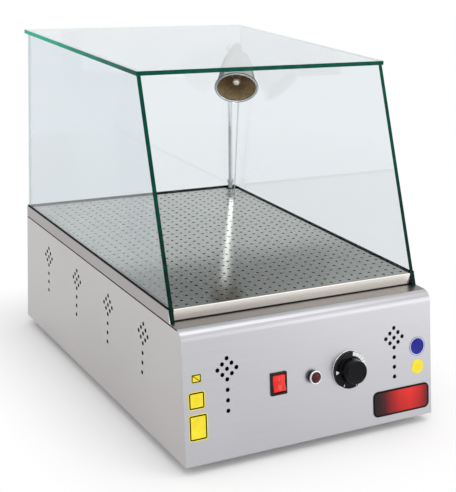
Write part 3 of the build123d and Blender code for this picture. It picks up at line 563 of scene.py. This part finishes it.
switch = {"width": 25.4, "height": 31.6, "proud": 2.0, "mouthWidth": 19.5, "cornerRound": 1.6,
          "edgeRound": 0.6, "depth": 22.0, "mouthDepth": 18.0, "housingInset": 1.7}
rocker = {"width": 18.9, "radius": 12.6, "pivotDepth": 3.5, "faceOut": 2.0, "slope": 8.0, "rest": 7.0,
          "edgeRound": 0.5, "markWidth": 0.9, "markLong": 5.0, "markRing": 2.4, "markProud": 0.06,
          "markPlace": 0.52}


def makeBezel():
    bm = bmesh.new()
    proud = switch["proud"]
    addBox(bm, (switch["width"], switch["height"], proud + 0.02), Matrix.Translation((0, 0, proud / 2)))
    roundUprights(bm, switch["cornerRound"], 5, 1)
    top = topFace(bm)
    bottom = min(bm.faces, key=lambda face: face.calc_center_median().z)
    inset = (switch["width"] - switch["mouthWidth"]) / 2
    for face, margin, depth in ((top, inset, "mouthDepth"), (bottom, switch["housingInset"], "depth")):
        bmesh.ops.inset_region(bm, faces=[face], thickness=margin, use_even_offset=True)
        grow(bm, face, (0, 0, -switch[depth]))
        bmesh.ops.delete(bm, geom=[face], context="FACES_ONLY")
    rims = [edge for edge in bm.edges if min(vert.co.z for vert in edge.verts) > proud - 0.1]
    bevelSharp(bm, switch["edgeRound"], 3, 30, rims)
    settle(bm, onFascia(joints["rocker_tip"]["pos_m"]))
    addPiece("switchBezel", bm, ["blackPlastic"], "root", ("switch_body",))


def makeRocker():
    bm = bmesh.new()
    half, radius = rocker["width"] / 2, rocker["radius"]
    faceHeight = rocker["pivotDepth"] + rocker["faceOut"]
    slope = math.tan(math.radians(rocker["slope"]))
    # where the sloping face meets the round back, solved by a few steps
    edge = radius * 0.9
    for _ in range(12):
        edge = math.sqrt(radius ** 2 - (faceHeight + edge * slope) ** 2)
    start = math.degrees(math.atan2(faceHeight + edge * slope, edge))
    outline = [(0, faceHeight)] + arcPoints(radius, start, -180 - start, 40)
    grow(bm, bm.faces.new([bm.verts.new((-half, y, z)) for y, z in outline]), (2 * half, 0, 0))
    bmesh.ops.recalc_face_normals(bm, faces=bm.faces)
    bevelSharp(bm, rocker["edgeRound"], 3, 25)
    # marks on the two halves: a bar above, a ring below
    wide, proud = rocker["markWidth"], rocker["markProud"]
    for side in (1, -1):
        middle = edge * rocker["markPlace"] * side
        lift = faceHeight + abs(middle) * slope + proud / 2
        tip = Matrix.Rotation(side * math.radians(rocker["slope"]), 4, "X")
        turn = Matrix.Translation((0, middle, lift)) @ tip
        if side > 0:
            addBox(bm, (wide, rocker["markLong"], proud), turn, 1)
        else:
            ring = bmesh.new()
            outer, inner, up = rocker["markRing"], rocker["markRing"] - wide, proud / 2
            spinProfile(ring, [(inner, -up), (outer, -up), (outer, up), (inner, up), (inner, -up)], 32, 1)
            settle(ring, turn)
            addTo(bm, ring)
    here = Matrix(fascia)
    here.translation = Vector(joints["rocker_tip"]["pos_m"])
    here = here @ Matrix.Rotation(-math.radians(rocker["rest"]), 4, "X") @ toMetres
    bmesh.ops.transform(bm, matrix=here, verts=bm.verts)
    addPiece("switchRocker", bm, ["redPlastic", "redPrint"], "rocker", ("switch_rocker",))


makeBezel()
makeRocker()
print("switch made")


# Indicator: dark barrel, bright ring and a faceted lens

sign = {"barrel": 9.0, "barrelLong": 5.5, "ring": 9.6, "ringLong": 2.0, "lens": 7.4, "lensLong": 3.4,
        "tail": 5.8, "tailLong": 22.0, "facets": 12, "thread": 1.0, "threadDeep": 0.45}


def makeIndicator():
    here = onFascia(middleOf("indicator_ring"))
    bm = bmesh.new()
    tail, long, barrel = sign["tail"], sign["tailLong"], sign["barrel"]
    points = [(0, -long), (tail - 0.5, -long), (tail, 0.5 - long)]
    for k in range(int((long - 8) / sign["thread"])):
        z = 1.0 - long + k * sign["thread"]
        points += [(tail, z), (tail - sign["threadDeep"], z + sign["thread"] / 2)]
    points += [(tail, -4.0), (tail, 0), (barrel - 0.4, 0), (barrel, 0.4), (barrel, sign["barrelLong"]),
               (0, sign["barrelLong"])]
    spinProfile(bm, points, 48)
    settle(bm, here)
    addPiece("indicatorBarrel", bm, ["blackPlastic"], "root", ("indicator_body",))
    ring = bmesh.new()
    low, out, inside = sign["barrelLong"], sign["ring"], sign["lens"]
    high = low + sign["ringLong"]
    middle, roundness = (out + inside) / 2, (out - inside) / 2
    crown = arcPoints(roundness, 0, 180, 12, (middle, high - roundness))
    spinProfile(ring, [(inside, low), (out, low)] + crown + [(inside, low)], 64)
    settle(ring, here)
    addPiece("indicatorRing", ring, ["chrome"], "root", ("indicator_ring",))
    lens = bmesh.new()
    peak = low + sign["lensLong"]
    profile = [(0, low), (inside - 0.05, low), (inside - 0.05, high - 0.4), (inside * 0.62, peak - 0.5),
               (inside * 0.25, peak), (0, peak)]
    spinProfile(lens, profile, sign["facets"])
    settle(lens, here)
    addPiece("indicatorLens", lens, ["lensPlastic"], "root", ("indicator_lens",), 8)


makeIndicator()
print("indicator made")


# Thermostat knob: skirt with marks, tapered hub, dial ring behind it

knob = {"lift": 1.8, "skirt": 26.2, "skirtThick": 3.4, "hub": 18.2, "hubTop": 16.4, "height": 21.0,
        "edge": 1.6, "dish": 1.0, "shaft": 3.1, "flutes": 48, "fluteDepth": 0.28, "pointerOut": 24.6,
        "pointerLong": 5.4, "pointerWide": 5.4, "pointerThick": 0.35, "markAngles": (70, -68, -120),
        "markLong": 2.4, "markWide": 1.2, "dialOut": 27.2, "dialIn": 20.5, "dialThick": 1.0, "bandIn": 20.4,
        "bandOut": 25.8, "bandFrom": -62.0, "bandTo": 82.0, "bandParts": 11, "bandGap": 0.9,
        "bandThick": 0.12, "sunk": 0.02}


def makeKnob(here, low, top):
    bm = bmesh.new()
    skirt, hub, hubTop, height, edge = (knob[key] for key in ("skirt", "hub", "hubTop", "height", "edge"))
    profile = [(knob["shaft"], low + 0.8), (knob["dialIn"], low + 0.8), (knob["dialIn"] + 0.8, low),
               (skirt - 0.5, low)]
    profile += arcPoints(1.3, -20, 90, 6, (skirt - 1.3, top - 1.3))
    profile += [(hub + 1.2, top + 0.1)] + arcPoints(1.0, 250, 186, 4, (hub + 1.15, top + 1.1))
    profile += [(hub - 0.1 + (hubTop - hub + 0.1) * k / 6, top + 1.2 + (height - edge - top - 1.2) * k / 6)
                for k in range(1, 7)]
    profile += arcPoints(edge, 12, 90, 6, (hubTop - edge, height - edge))
    face = height - knob["dish"]
    profile += [(hubTop - 3.2, height - 0.12), (hubTop - 4.2, face), (3.0, face - 0.1), (0, face - 0.1)]
    spinProfile(bm, profile, knob["flutes"] * 4)
    waveRound(bm, lambda radius, z: top + 1.0 < z < height - edge + 0.4 and radius > hubTop - 1,
              knob["flutes"], knob["fluteDepth"])
    settle(bm, here)
    addPiece("thermostatKnob", bm, ["knobPlastic"], "knob", ("thermostat_knob",))


def makeMarks(here, top):
    marks = bmesh.new()
    outer, long, half = knob["pointerOut"], knob["pointerLong"], knob["pointerWide"] / 2
    base = top - knob["sunk"]
    spots = ((-outer, half, base), (-outer, -half, base), (-outer + long, 0, base))
    grow(marks, marks.faces.new([marks.verts.new(spot) for spot in spots]), (0, 0, knob["pointerThick"]))
    for angle in knob["markAngles"]:
        turn = Matrix.Rotation(math.radians(angle), 4, "Z")
        addBox(marks, (knob["markLong"], knob["markWide"], 0.2),
               turn @ Matrix.Translation((outer - 1.6, 0, top + 0.06)))
    settle(marks, here)
    addPiece("knobMarks", marks, ["whiteMark"], "knob", ("knob_pointer",))


def makeHighlightBand(here, top):
    # a silver scale band on the skirt, in short lengths, only on its right side where the highlight falls:
    # partly a painted highlight
    band = bmesh.new()
    length = (knob["bandTo"] - knob["bandFrom"]) / knob["bandParts"]
    for k in range(knob["bandParts"]):
        start = knob["bandFrom"] + k * length
        end = start + length - knob["bandGap"]
        outline = arcPoints(knob["bandOut"], start, end, 6) + arcPoints(knob["bandIn"], end, start, 6)
        face = band.faces.new([band.verts.new((x, y, top - knob["sunk"])) for x, y in outline])
        grow(band, face, (0, 0, knob["bandThick"] + knob["sunk"]))
    settle(band, here)
    addPiece("knobHighlightBand", band, ["chrome"], "knob")


def makeDial(here):
    dial = bmesh.new()
    inner, outer, thick = knob["dialIn"], knob["dialOut"], knob["dialThick"]
    spinProfile(dial, [(inner, 0), (outer, 0), (outer, thick - 0.3), (outer - 0.3, thick), (inner, thick),
                       (inner, 0)], 96)
    settle(dial, here)
    addPiece("dialRing", dial, ["chrome"], "root", ("dial_ring",))


knobPlace = onFascia(joints["knob_turn"]["pos_m"])
skirtTop = knob["lift"] + knob["skirtThick"]
makeKnob(knobPlace, knob["lift"], skirtTop)
makeMarks(knobPlace, skirtTop)
makeHighlightBand(knobPlace, skirtTop)
makeDial(knobPlace)
smoothCopy("thermostat_shaft", "thermostatShaft", ["zinc"], "knob")
print("knob made")


# Blank labels: film with a printed border line, and a glossy plate

label = {"thick": 0.3, "border": 1.8, "margin": 1.1, "smallBorder": 1.5, "smallMargin": 0.25,
         "smallBelow": 12}
labelSpots = {   # x, along the fascia, width, height, corner
    "smallLabel": (-180.3, 116.2, 13.6, 11.2, 0.8),
    "middleLabel": (-180.9, 87.0, 24.0, 24.0, 3.5),
    "tallLabel": (-180.0, 51.0, 27.3, 35.3, 3.5),
}
roundLabels = {   # x, along the fascia, radius, and where a ring starts and ends in from the rim
    "blueLabel": (175.8, 103.0, 13.6, 0.8, 1.7),
    "roundYellowLabel": (175.7, 73.2, 10.4, 0.6, 1.2),
}


def roundedCard(size, cornerRound, thick):
    bm = bmesh.new()
    addBox(bm, (*size, thick), Matrix.Translation((0, 0, thick / 2)))
    roundUprights(bm, cornerRound, 6, thick / 2)
    return bm


def borderedLabel(x, along, width, height, cornerRound):
    # the printed line is a ring of the top face
    bm = roundedCard((width, height), cornerRound, label["thick"])
    small = min(width, height) < label["smallBelow"]
    top = topFace(bm)
    bmesh.ops.inset_region(bm, faces=[top], thickness=label["smallMargin" if small else "margin"],
                           use_even_offset=True)
    line = bmesh.ops.inset_region(bm, faces=[top], thickness=label["smallBorder" if small else "border"],
                                  use_even_offset=True)
    for face in line["faces"]:
        face.material_index = 1
    bmesh.ops.transform(bm, matrix=alongFascia(x, along), verts=bm.verts)
    return bm


def roundLabel(x, along, radius, ringStart, ringEnd, printed):
    bm = bmesh.new()
    thick = label["thick"]
    made = spinProfile(bm, [(0, 0), (radius, 0), (radius, thick), (radius - ringStart, thick),
                            (radius - ringEnd, thick), (0, thick)], 64)
    for face in made:
        middle = face.calc_center_median()
        if printed and radius - ringEnd < math.hypot(middle.x, middle.y) < radius - ringStart:
            face.material_index = 1
    settle(bm, alongFascia(x, along))
    return bm


yellow = [borderedLabel(*spot) for spot in labelSpots.values()]
yellow.append(roundLabel(*roundLabels["roundYellowLabel"], False))
addPiece("yellowLabels", gather(yellow), ["yellowFilm", "blackInk"], "root",
         ("labels_yellow",))
addPiece("blueLabel", roundLabel(*roundLabels["blueLabel"], True), ["blueFilm", "whiteInk"], "root",
         ("label_blue",))

plate = {"x": 146.2, "along": 29.0, "width": 97.8, "height": 37.0, "thick": 0.8, "corner": 8.0, "lip": 2.6,
         "dark": "1A0B12", "middle": "A0161C", "bright": "DC2A22", "lowest": 0.72, "speck": 0.12,
         "levels": [(0.0, 0.0), (0.2, 0.12), (0.45, 0.8), (0.65, 1.0), (0.82, 0.75), (1.0, 0.08)]}


def plateFilm():
    # red in the middle and at the top, dark towards both ends
    material, tree, shader = startMaterial("plateFilm", {"Roughness": 0.25, "Specular IOR Level": 0.25})
    axes = axesOver(tree)
    ends = [(plate["x"] + side * plate["width"] / 2) * mm for side in (-1, 1)]
    low, high = (alongFascia(0, plate["along"] + side * plate["height"] / 2).translation.z
                 for side in (-1, 1))
    across = rangeOver(tree, axes["X"], 0.0, 1.0, *ends)
    level = rampOver(tree, across, [(place, grey(part)) for place, part in plate["levels"]])
    rise = rangeOver(tree, axes["Z"], plate["lowest"], 1.0, low, high)
    both = mathOver(tree, "MULTIPLY", level, rise)
    speck = noiseOver(tree, overObject(tree), 700.0, 2.0)
    spread = mathOver(tree, "MULTIPLY_ADD", speck, plate["speck"], both)
    base = rampOver(tree, spread, [(0.10, colour(plate["dark"])), (0.55, colour(plate["middle"])),
                                   (1.0, colour(plate["bright"]))])
    tree.links.new(base, shader.inputs["Base Color"])
    return material


def makePlate():
    finishes["plateFilm"] = plateFilm()
    bm = roundedCard((plate["width"], plate["height"]), plate["corner"], plate["thick"])
    top = topFace(bm)
    for face in bm.faces:
        face.material_index = 1
    bmesh.ops.inset_region(bm, faces=[top], thickness=plate["lip"], use_even_offset=True)
    top.material_index = 0
    bmesh.ops.transform(bm, matrix=alongFascia(plate["x"], plate["along"]), verts=bm.verts)
    addPiece("namePlate", bm, ["plateFilm", "blackInk"], "root", ("name_plate",))


makePlate()
print("labels made")


# Lamp: its own frame has the origin on the pivot axis and Z out of the shade's mouth

lamp = {"heading": 28.0, "dip": 38.0, "offset": 12.6, "wall": 0.8, "rim": 2.3, "rimOut": 0.5,
        "shadowFrom": -0.3, "neck": 6.4, "neckBack": 9.0, "neckFront": 13.0, "groove": 0.5, "holder": 8.6,
        "holderFront": 58.0, "holderGrooves": 5, "grooveStep": 5.2, "socketDeep": 13.9, "bulb": 7.0,
        "bulbTip": 78.0, "opalFrom": 69.5}
shadeOutline = [(11.0, 8.2), (15.0, 13.2), (21.0, 18.2), (30.0, 22.7), (42.0, 26.6), (56.0, 29.8),
                (70.0, 32.4), (81.0, 34.9), (88.0, 37.2)]   # along the axis, radius
headFrame = (Matrix.Translation(joints["lamp_tilt"]["pos_m"])
             @ Matrix.Rotation(-math.radians(lamp["heading"]), 4, "Z"))
lampFrame = (headFrame @ Matrix.Translation((lamp["offset"] * mm, 0, 0))
             @ Matrix.Rotation(math.radians(90 + lamp["dip"]), 4, "X") @ toMetres)


def smoothOutline(points, between=4):
    # a curve through the points
    curve = []
    for k in range(len(points) - 1):
        before, start = points[max(k - 1, 0)], points[k]
        end, after = points[k + 1], points[min(k + 2, len(points) - 1)]
        for j in range(between):
            t = j / between
            weights = (-0.5 * t + t * t - 0.5 * t ** 3, 1 - 2.5 * t * t + 1.5 * t ** 3,
                       0.5 * t + 2 * t * t - 1.5 * t ** 3, -0.5 * t * t + 0.5 * t ** 3)
            curve.append(tuple(sum(w * p[axis] for w, p in zip(weights, (before, start, end, after)))
                               for axis in (0, 1)))
    return curve + [points[-1]]


def makeShade():
    bm = bmesh.new()
    outer = [(radius, along) for along, radius in smoothOutline(shadeOutline)]
    mouthRadius, mouthAlong = outer[-1]
    rim, neck, wall = lamp["rim"], lamp["neck"], lamp["wall"]
    roll = arcPoints(rim, 200, -160, 14, (mouthRadius + lamp["rimOut"] - rim, mouthAlong - rim))
    inner = [(radius - wall, along + wall * 0.6) for radius, along in outer[:-2]]
    neckOut, neckIn = (neck, outer[0][1]), (neck, inner[0][1])
    spinProfile(bm, [neckOut] + outer[:-2], 96, 0)
    for face in spinProfile(bm, [outer[-3]] + roll + [inner[-1]], 96, 2):
        spot = face.calc_center_median()
        # the rim's outer faces are painted dark: a painted reflection
        if math.hypot(spot.x, spot.y) > mouthRadius + lamp["shadowFrom"] and spot.z > mouthAlong - rim:
            face.material_index = 3
    spinProfile(bm, inner[::-1] + [neckIn], 96, 1)
    spinProfile(bm, [neckIn, neckOut], 96, 0)
    settle(bm, lampFrame)
    addPiece("lampShade", bm, ["satinNickel", "bronzeInside", "chrome", "darkReflectionNickel"], "lamp_head",
             ("lamp_shade",), 50)


def makeNeck():
    bm = bmesh.new()
    radius, back, front, groove = lamp["neck"], -lamp["neckBack"], lamp["neckFront"], lamp["groove"]
    points = [(0, back)] + arcPoints(1.5, -90, 0, 5, (radius - 1.5, back + 1.5))
    points += [(radius, -4.5), (radius - groove, -4.1), (radius - groove, -3.3), (radius, -2.9),
               (radius, front - 4), (radius + 1.2, front - 3.4), (radius + 1.2, front - 2.2),
               (radius, front - 1.8), (radius, front), (0, front)]
    spinProfile(bm, points, 64)
    settle(bm, lampFrame)
    addPiece("lampNeck", bm, ["satinNickel"], "lamp_head", ("lamp_neck",))


def makeHolder():
    bm = bmesh.new()
    front, radius, start, groove = lamp["holderFront"], lamp["holder"], lamp["neckFront"], lamp["groove"]
    narrow, mouth, floor = radius - 1.5, lamp["bulb"] - 1.4, front - lamp["socketDeep"]
    points = [(0, start + 0.02), (narrow, start + 0.02), (narrow, start + 7.6), (radius, start + 8.2)]
    for k in range(lamp["holderGrooves"]):
        z = start + 11 + k * lamp["grooveStep"]
        points += [(radius, z), (radius - groove, z + 0.5), (radius - groove, z + 1.2), (radius, z + 1.7)]
    points += [(radius, front - 0.5), (radius - 0.5, front), (mouth + 0.2, front), (mouth, front - 0.3),
               (mouth, floor), (0, floor)]
    for face in spinProfile(bm, points, 64):
        if face.calc_center_median().z > front - 2.5:
            face.material_index = 1
    settle(bm, lampFrame)
    addPiece("lampHolder", bm, ["ceramicBrown", "steatite"], "lamp_head", ("lamp_holder",))


def makeBulb():
    bm = bmesh.new()
    base, tip, radius = lamp["holderFront"] - 13.8, lamp["bulbTip"] - lamp["bulb"], lamp["bulb"]
    points = [(0, base), (radius - 1.6, base), (radius - 1.6, base + 14.2), (radius - 0.9, base + 14.9),
              (radius - 0.2, base + 15.8), (radius, base + 17)]
    for face in spinProfile(bm, points + arcPoints(radius, 0, 90, 16, (0, tip)), 48):
        if face.calc_center_median().z > lamp["opalFrom"]:
            face.material_index = 1
    settle(bm, lampFrame)
    addPiece("lampBulb", bm, ["bulbGlass", "opalGlass"], "lamp_head", ("lamp_bulb",))


makeShade()
makeNeck()
makeHolder()
makeBulb()
for finish, body, slot, alike in (
        ("chrome", "lamp_post", "lamp_metal", ("lamp_stem", "lamp_knuckle")),
        ("zinc", "lamp_post", "zinc_screws", ("lamp_pivot_screw",)),
        ("zinc", "root", "zinc_screws", ("lamp_sleeve", "lamp_collar")),
        ("hotSteel", "root", "element_sheath", ("heating_element",)),
        ("copper", "root", "copper_tube", ("capillary_tube", "sensing_bulb")),
        ("silicone", "root", "lead_insulation", ("base_leads", "heater_leads", "lamp_lead"))):
    for node in alike:
        smoothCopy(node, joinedName(node), [finish], body)
print("lamp made")


# Screws with crossed recesses, feet and the cord's gland

screw = {"head": 3.0, "tall": 1.8, "flat": 2.1, "shank": 2.0, "long": 4.8, "arm": 1.5, "slot": 0.55,
         "deep": 0.9, "taper": 0.7}
gland = {"bore": 4.2, "neck": 7.8, "flange": 8.0, "thread": 1.5, "threadDeep": 0.5, "ribs": 18,
         "ribDepth": 0.5}
facingBack = Matrix.Rotation(math.radians(-90), 4, "X")


def crossScrew(spot):
    bm = bmesh.new()
    head, tall, flat, shank, long = (screw[key] for key in ("head", "tall", "flat", "shank", "long"))
    outline = [(0, -long), (shank - 0.4, -long), (shank, 0.4 - long), (shank, 0), (head, 0),
               (head, tall * 0.35), (head - 0.25, tall * 0.62), ((head + flat) / 2, tall * 0.88),
               (flat, tall)]
    spinProfile(bm, outline, 32)
    bmesh.ops.remove_doubles(bm, verts=bm.verts, dist=mergeGap)
    rim = [edge for edge in bm.edges if len(edge.link_faces) == 1
           and min(vert.co.z for vert in edge.verts) > tall - 0.01]
    arm, half = screw["arm"], screw["slot"] / 2
    corners = [(half, half), (half, arm), (-half, arm), (-half, half), (-arm, half), (-arm, -half),
               (-half, -half), (-half, -arm), (half, -arm), (half, -half), (arm, -half), (arm, half)]
    taper, floor = screw["taper"], tall - screw["deep"]
    upper = [bm.verts.new((x, y, tall)) for x, y in corners]
    lower = [bm.verts.new((x * taper, y * taper, floor)) for x, y in corners]
    loop = [bm.edges.new((upper[k - 1], upper[k])) for k in range(len(corners))]
    bmesh.ops.triangle_fill(bm, use_beauty=True, use_dissolve=False, edges=rim + loop, normal=(0, 0, 1))
    for k in range(len(corners)):
        bm.faces.new((upper[k - 1], upper[k], lower[k], lower[k - 1]))
    bm.faces.new(lower)
    settle(bm, Matrix.Translation(spot) @ facingBack @ toMetres)
    return bm


def makeScrews():
    low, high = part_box("back_panel_screws")
    edge, seat = screw["head"] * mm, high.y - screw["tall"] * mm
    spots = [(x, seat, z) for x in (low.x + edge, high.x - edge)
             for z in (low.z + edge, (low.z + high.z) / 2, high.z - edge)]
    addPiece("backPanelScrews", gather(map(crossScrew, spots)), ["zinc"], "root",
             ("back_panel_screws",))


def makeGland():
    low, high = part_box("cord_gland")
    here = Matrix.Translation(((low.x + high.x) / 2, high.y, (low.z + high.z) / 2)) @ facingBack @ toMetres
    long, radius, bore = (high.y - low.y) / mm, (high.x - low.x) / mm / 2, gland["bore"]
    neck, flange, thread = gland["neck"], gland["flange"], gland["thread"]
    bm = bmesh.new()
    points = [(bore, -long), (neck - 0.6, -long), (neck, 0.6 - long)]
    for k in range(int((long - flange - 1.5) / thread)):
        z = 0.8 - long + k * thread
        points += [(neck, z), (neck - gland["threadDeep"], z + thread / 2)]
    points += [(neck, -flange), (radius - 0.4, -flange), (radius, 0.4 - flange), (radius, -2.4)]
    points += arcPoints(2.0, 0, 80, 5, (radius - 2.0, -2.2))
    points += [(bore + 1.0, -0.1), (bore, -0.8), (bore, -long)]
    spinProfile(bm, points, gland["ribs"] * 6)
    waveRound(bm, lambda out, z: out > radius - 0.6 and -flange + 0.2 < z < -2.0, gland["ribs"],
              gland["ribDepth"])
    settle(bm, here)
    addPiece("cordGland", bm, ["blackPlastic"], "root", ("cord_gland",))


makeScrews()
makeGland()
for node in ("foot_front_left", "foot_front_right", "foot_back_left", "foot_back_right"):
    smoothCopy(node, node.replace("_", "Rubber_"), ["rubber"], "root")
smoothCopy("foot_screws", "footScrews", ["zinc"], "root")
print("small fittings made")


# Floor, light and background

studio = {"floorRadius": 9.0, "floor": "FAFAFA", "foot": (0.20, 0.30, 0.0), "seenFade": (0.0, 0.17),
          "mirroredFade": (-0.30, 1.60), "back": 0.80, "middle": 0.88, "front": 0.94,
          "gradient": (0.48, -0.86, 0.12)}   # in metres


def vectorOver(tree, operation, first, second=None):
    step = tree.nodes.new("ShaderNodeVectorMath")
    step.operation = operation
    tree.links.new(first, step.inputs[0])
    if second:
        step.inputs[1].default_value = second
    return step.outputs


def stageMesh(name, mesh, material):
    mesh.materials.append(material)
    staged = bpy.data.objects.new(name, mesh)
    scene.collection.objects.link(staged)
    return staged


def makeFloor():
    bm = bmesh.new()
    bmesh.ops.create_circle(bm, cap_ends=True, radius=studio["floorRadius"], segments=64)
    paper = {"Base Color": colour(studio["floor"]), "Roughness": 0.9}
    material, tree, shader = startMaterial("floorPaper", paper)
    # away from the case the floor turns into the white background
    white = tree.nodes.new("ShaderNodeEmission")
    white.inputs["Color"].default_value = grey(1)
    white.inputs["Strength"].default_value = 1.0
    away = tree.nodes.new("ShaderNodeTexCoord").outputs["Object"]
    for operation, second in (("ABSOLUTE", None), ("SUBTRACT", studio["foot"]), ("MAXIMUM", (0, 0, 0))):
        away = vectorOver(tree, operation, away, second)["Vector"]
    far = vectorOver(tree, "LENGTH", away)["Value"]
    shares = []
    for fade, rays in (("seenFade", ("Is Camera Ray",)),
                       ("mirroredFade", ("Is Glossy Ray", "Is Transmission Ray"))):
        faded = rangeOver(tree, far, 0.0, 1.0, *studio[fade])
        shares.append(mathOver(tree, "MULTIPLY", faded, lightPath(tree, *rays)))
    mixShaders(tree, mathOver(tree, "MAXIMUM", *shares), shader.outputs[0], white.outputs[0])
    stageMesh("floor", meshOf("floor", bm), material)


def makeWorld():
    world = bpy.data.worlds.new("studio")
    scene.world = world
    world.use_nodes = True
    tree = world.node_tree
    surround = tree.nodes["Background"]
    # the room is a soft gradient, brighter towards the front
    spot = tree.nodes.new("ShaderNodeTexCoord").outputs["Generated"]
    along = vectorOver(tree, "DOT_PRODUCT", spot, studio["gradient"])["Value"]
    levels = [(0.1, grey(studio["back"])), (0.5, grey(studio["middle"])), (0.9, grey(studio["front"]))]
    soft = rampOver(tree, rangeOver(tree, along, 0.0, 1.0, -1.0, 1.0), levels)
    tree.links.new(soft, surround.inputs["Color"])
    white = tree.nodes.new("ShaderNodeBackground")
    white.inputs["Color"].default_value = grey(1)
    rays = lightPath(tree, "Is Camera Ray", "Is Glossy Ray", "Is Transmission Ray")
    mixShaders(tree, rays, surround.outputs[0], white.outputs[0], "World Output")


lights = {   # place and size in metres, power in watts; all look at the case
    "keyBox": ((-0.5, -1.3, 1.9), 1.2, 5.0),
    "bendBox": ((0.55, -0.65, 1.50), 0.7, 2.4),
    "frontRightBox": ((1.45, -1.7, 0.42), 1.5, 7.2),
}
aim = Vector((0.0, -0.1, 0.22))
# a grey board behind the case, in metres, and a slim light beside the lamp's stem; only mirrors show them
greyCard = {"low": (-0.10, 0.40, 0.385), "high": (1.10, 0.40, 0.512), "left": 0.145, "right": 1.0}
glow = {"width": 10.0, "start": 22.0, "end": 172.0, "level": 2.9, "before": 6.0, "side": (0.5, -0.866, 0)}


def cardMaterial(name, left, right, low, high):
    # shines only into reflections, and lets every other ray through
    material = bpy.data.materials.new(name)
    material.use_nodes = True
    tree = material.node_tree
    tree.nodes.remove(tree.nodes["Principled BSDF"])
    shine = tree.nodes.new("ShaderNodeEmission")
    tree.links.new(rangeOver(tree, axesOver(tree)["X"], left, right, low, high), shine.inputs["Strength"])
    clear = tree.nodes.new("ShaderNodeBsdfTransparent")
    mirrored = mathOver(tree, "GREATER_THAN", lightPath(tree, "Glossy Depth"), 0.5)
    backface = tree.nodes.new("ShaderNodeNewGeometry").outputs["Backfacing"]
    facing = mathOver(tree, "SUBTRACT", mirrored, backface, clamp=True)
    mixShaders(tree, facing, clear.outputs[0], shine.outputs[0])
    return material


def stageCard(name, corners, *levels):
    mesh = bpy.data.meshes.new(name)
    mesh.from_pydata([tuple(spot) for spot in corners], [], [(0, 1, 2, 3)])
    card = stageMesh(name, mesh, cardMaterial(name, *levels))
    card.visible_camera = False
    card.visible_diffuse = False
    card.visible_shadow = False


def makeCards():
    low, high = Vector(greyCard["low"]), Vector(greyCard["high"])
    corners = [low, (high.x, low.y, low.z), high, (low.x, high.y, high.z)]
    stageCard("greyCard", corners, greyCard["left"], greyCard["right"], low.x, high.x)
    # the slim light gives the stem its pale streak on the tray; it is edge on to the right glass
    up = Vector(joints["lamp_swivel"]["axis"]).normalized()
    top = Vector(joints["lamp_swivel"]["pos_m"])
    foot = top - up * ((top.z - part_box("fascia_deck")[1].z) / up.z)
    side = Vector(glow["side"]) * glow["width"] * mm / 2
    before = Vector((0, -glow["before"] * mm, 0))
    start, end = foot + up * glow["start"] * mm + before, foot + up * glow["end"] * mm + before
    corners = [start - side, start + side, end + side, end - side]
    stageCard("stemGlow", corners, glow["level"], glow["level"], 0.0, 1.0)


def makeLights():
    for name, (place, size, power) in lights.items():
        data = bpy.data.lights.new(name, "AREA")
        data.size = size
        data.energy = power
        light = bpy.data.objects.new(name, data)
        scene.collection.objects.link(light)
        light.location = place
        light.rotation_euler = (aim - Vector(place)).to_track_quat("-Z", "Y").to_euler()


# angles in radians, place in millimetres, the rest in pixels
view = {"heading": -0.526, "height": 0.274, "roll": 0.045, "from": (-631.313, -1192.364, 727.964),
        "focus": 1159.521, "centre": (238.714, 210.117), "frame": (456, 492)}


def makeCamera():
    heading, height, roll = view["heading"], view["height"], view["roll"]
    level = math.cos(height)
    back = Vector((math.sin(heading) * level, -math.cos(heading) * level, math.sin(height)))
    right = Vector((math.cos(heading), math.sin(heading), 0.0))
    up = back.cross(right)
    across = math.cos(roll) * right + math.sin(roll) * up
    above = -math.sin(roll) * right + math.cos(roll) * up
    data = bpy.data.cameras.new("camera")
    width, tall = view["frame"]
    data.sensor_fit = "VERTICAL"
    data.sensor_height = 36.0
    data.lens = view["focus"] * data.sensor_height / tall
    data.shift_x = (width / 2 - view["centre"][0]) / tall
    data.shift_y = (view["centre"][1] - tall / 2) / tall
    data.clip_end = 100.0
    camera = bpy.data.objects.new("camera", data)
    scene.collection.objects.link(camera)
    place = Matrix((across, above, back)).transposed().to_4x4()
    place.translation = corner + Vector(view["from"]) * mm
    camera.matrix_world = place
    scene.camera = camera


makeFloor()
makeWorld()
makeLights()
makeCards()
makeCamera()
scene.view_settings.view_transform = "Standard"
print("studio made")
